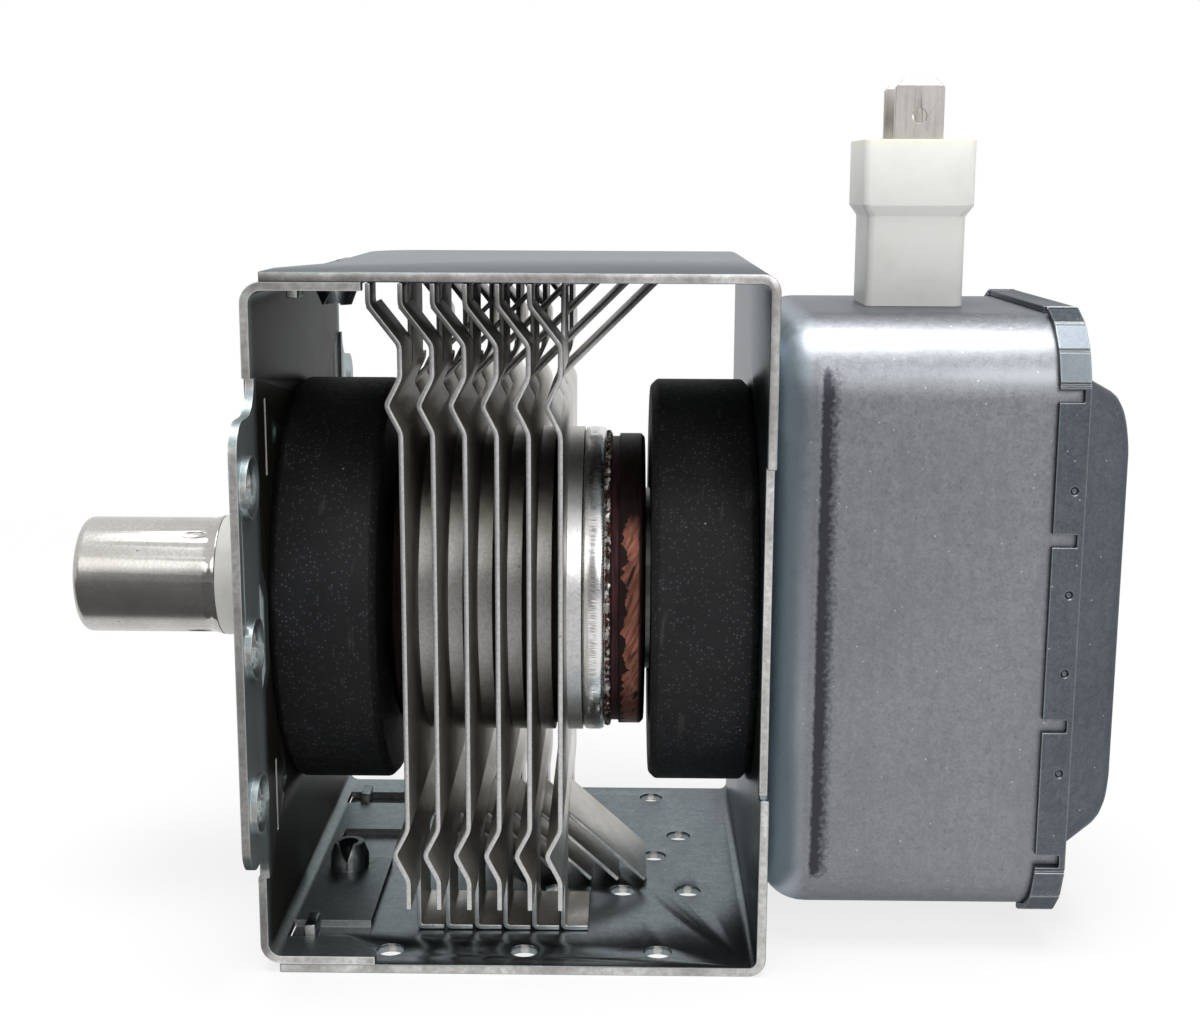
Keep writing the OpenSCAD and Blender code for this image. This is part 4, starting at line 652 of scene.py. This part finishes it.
# Lid: coated sheet pressed to a raised pan, pleated at its corners and folded over the mouth of the
# box by tabs, each held by punch marks.
# The lid's coating gets much darker tones than the box's: painted shade on its side facing away from the
# light.
shaded_lid_zinc = zinc_steel("shaded_lid_zinc", (0.14, 0.158, 0.174), (0.086, 0.098, 0.11), 0.33, (1.0, 1.0, 0.15))
lid_low, lid_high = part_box("filter_lid")
fold_r = 10.85 * MM
half_pleat = 11.25
crease_w = 0.36 * MM
crease_len = 8.0 * MM
crease_mid = 2.0 * MM
crease_r = fold_r / math.cos(math.radians(half_pleat)) + 0.16 * MM
lid = merged_copy("filter_lid")
for side_y in (-1.0, 1.0):
    for side_z in (-1.0, 1.0):
        middle_y = side_y * (lid_high.y - fold_r)
        middle_z = (lid_high.z - fold_r) if side_z > 0 else (lid_low.z + fold_r)
        for turn in (half_pleat, 3 * half_pleat, 5 * half_pleat, 7 * half_pleat):
            crease_y = middle_y + side_y * crease_r * math.cos(math.radians(turn))
            crease_z = middle_z + side_z * crease_r * math.sin(math.radians(turn))
            bpy.ops.object.select_all(action="DESELECT")
            bpy.ops.mesh.primitive_cylinder_add(vertices=12, radius=crease_w, depth=crease_len,
                                                rotation=(0.0, math.radians(90.0), 0.0),
                                                location=(lid_low.x + crease_mid, crease_y, crease_z))
            crease = bpy.context.active_object
            bpy.ops.object.transform_apply()
            carve(lid, crease)
hand_over(lid, "galvanised_steel", shaded_lid_zinc, "filter_lid", edge=0.1, smooth=15.0)


# Floor, light and camera: a white sweep, one wide lamp overhead with two weaker ones in front, and
# the camera where the photograph was taken from. A grey curtain behind it and a dark card on the
# table to its left are there for the reflections in the metal alone.
floor_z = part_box("yoke_frame")[0].z
bpy.ops.mesh.primitive_plane_add(size=6.0, location=(0.0, 0.0, floor_z))
floor = bpy.context.active_object
floor.name = "floor"
paper, tree, sockets = material("white_paper", roughness=0.9)
sockets["Base Color"].default_value = (0.82, 0.82, 0.82, 1.0)
sockets["Specular IOR Level"].default_value = 0.0
seen = add(tree, "ShaderNodeLightPath").outputs
looked_at = maths(tree, "MAXIMUM", seen["Is Camera Ray"], seen["Is Transmission Ray"])
looked_at = maths(tree, "MAXIMUM", looked_at, seen["Is Glossy Ray"])
reach = add(tree, "ShaderNodeVectorMath", {0: here(tree)}, operation="LENGTH").outputs["Value"]
fade = ranged(tree, reach, 0.1, 0.32, 0.78, 1.0)
glow = add(tree, "ShaderNodeEmission")
blend = add(tree, "ShaderNodeMixShader", {0: maths(tree, "MULTIPLY", looked_at, fade)})
tree.links.new(tree.nodes["Principled BSDF"].outputs[0], blend.inputs[1])
tree.links.new(glow.outputs[0], blend.inputs[2])
tree.links.new(blend.outputs[0], tree.nodes["Material Output"].inputs["Surface"])
floor.data.materials.append(paper)

world = bpy.data.worlds.new("studio")
bpy.context.scene.world = world
world.use_nodes = True
tree = world.node_tree
ray = add(tree, "ShaderNodeLightPath").outputs
white_seen = maths(tree, "MAXIMUM", ray["Is Camera Ray"], ray["Is Transmission Ray"])
white_seen = maths(tree, "MAXIMUM", white_seen, ray["Is Glossy Ray"])
daylight = mixed(tree, white_seen, (0.45, 0.45, 0.45), (1.0, 1.0, 1.0))
feed(tree, tree.nodes["Background"].inputs["Color"], daylight)


def reflected_card(name, look, tone, wide, high, spot, lean):
    """Stands a dull card in the studio that only reflections see."""
    bpy.ops.mesh.primitive_plane_add(size=1.0, location=spot, rotation=(math.radians(lean), 0.0, 0.0))
    made = bpy.context.active_object
    made.name = name
    made.scale = (wide, high, 1.0)
    made.visible_camera = False
    made.visible_diffuse = False
    made.visible_transmission = False
    made.visible_shadow = False
    felt, tree, sockets = material(look, roughness=0.9)
    sockets["Base Color"].default_value = (tone, tone, tone, 1.0)
    made.data.materials.append(felt)


reflected_card("curtain", "grey_curtain", 0.5, 3.2, 0.56, (0.0, -1.1, floor_z + 0.28), 90.0)
reflected_card("dark_card", "dark_felt", 0.08, 0.7, 0.91, (-0.35, -0.463, floor_z + 0.001), 0.0)


def soft_lamp(name, spot, size, power):
    lamp = bpy.data.lights.new(name, "AREA")
    lamp.shape = "DISK"
    lamp.size = size
    lamp.energy = power
    made = bpy.data.objects.new(name, lamp)
    made.location = spot
    aim = Vector((0.04, 0.0, 0.0)) - Vector(spot)
    made.rotation_euler = aim.to_track_quat("-Z", "Y").to_euler()
    bpy.context.scene.collection.objects.link(made)


soft_lamp("overhead", (0.06, -0.06, 0.62), 0.5, 4.6)
soft_lamp("left_fill", (-0.3, -0.65, 0.4), 0.4, 0.55)
soft_lamp("right_fill", (0.3, -0.65, 0.35), 0.4, 1.7)

camera_data = bpy.data.cameras.new("photograph")
camera_data.sensor_fit = "HORIZONTAL"
camera_data.sensor_width = 36.0
camera_data.lens = 52.62
camera_data.clip_start = 0.01
camera = bpy.data.objects.new("photograph", camera_data)
looks_down = 10.84
turn = Matrix.Rotation(math.radians(0.7), 4, "Z")
tilt = Matrix.Rotation(math.radians(90.0 - looks_down), 4, "X")
roll = Matrix.Rotation(math.radians(0.26), 4, "Z")
camera.matrix_world = Matrix.Translation((0.0442, -0.2373, 0.054)) @ turn @ tilt @ roll
bpy.context.scene.collection.objects.link(camera)
bpy.context.scene.camera = camera
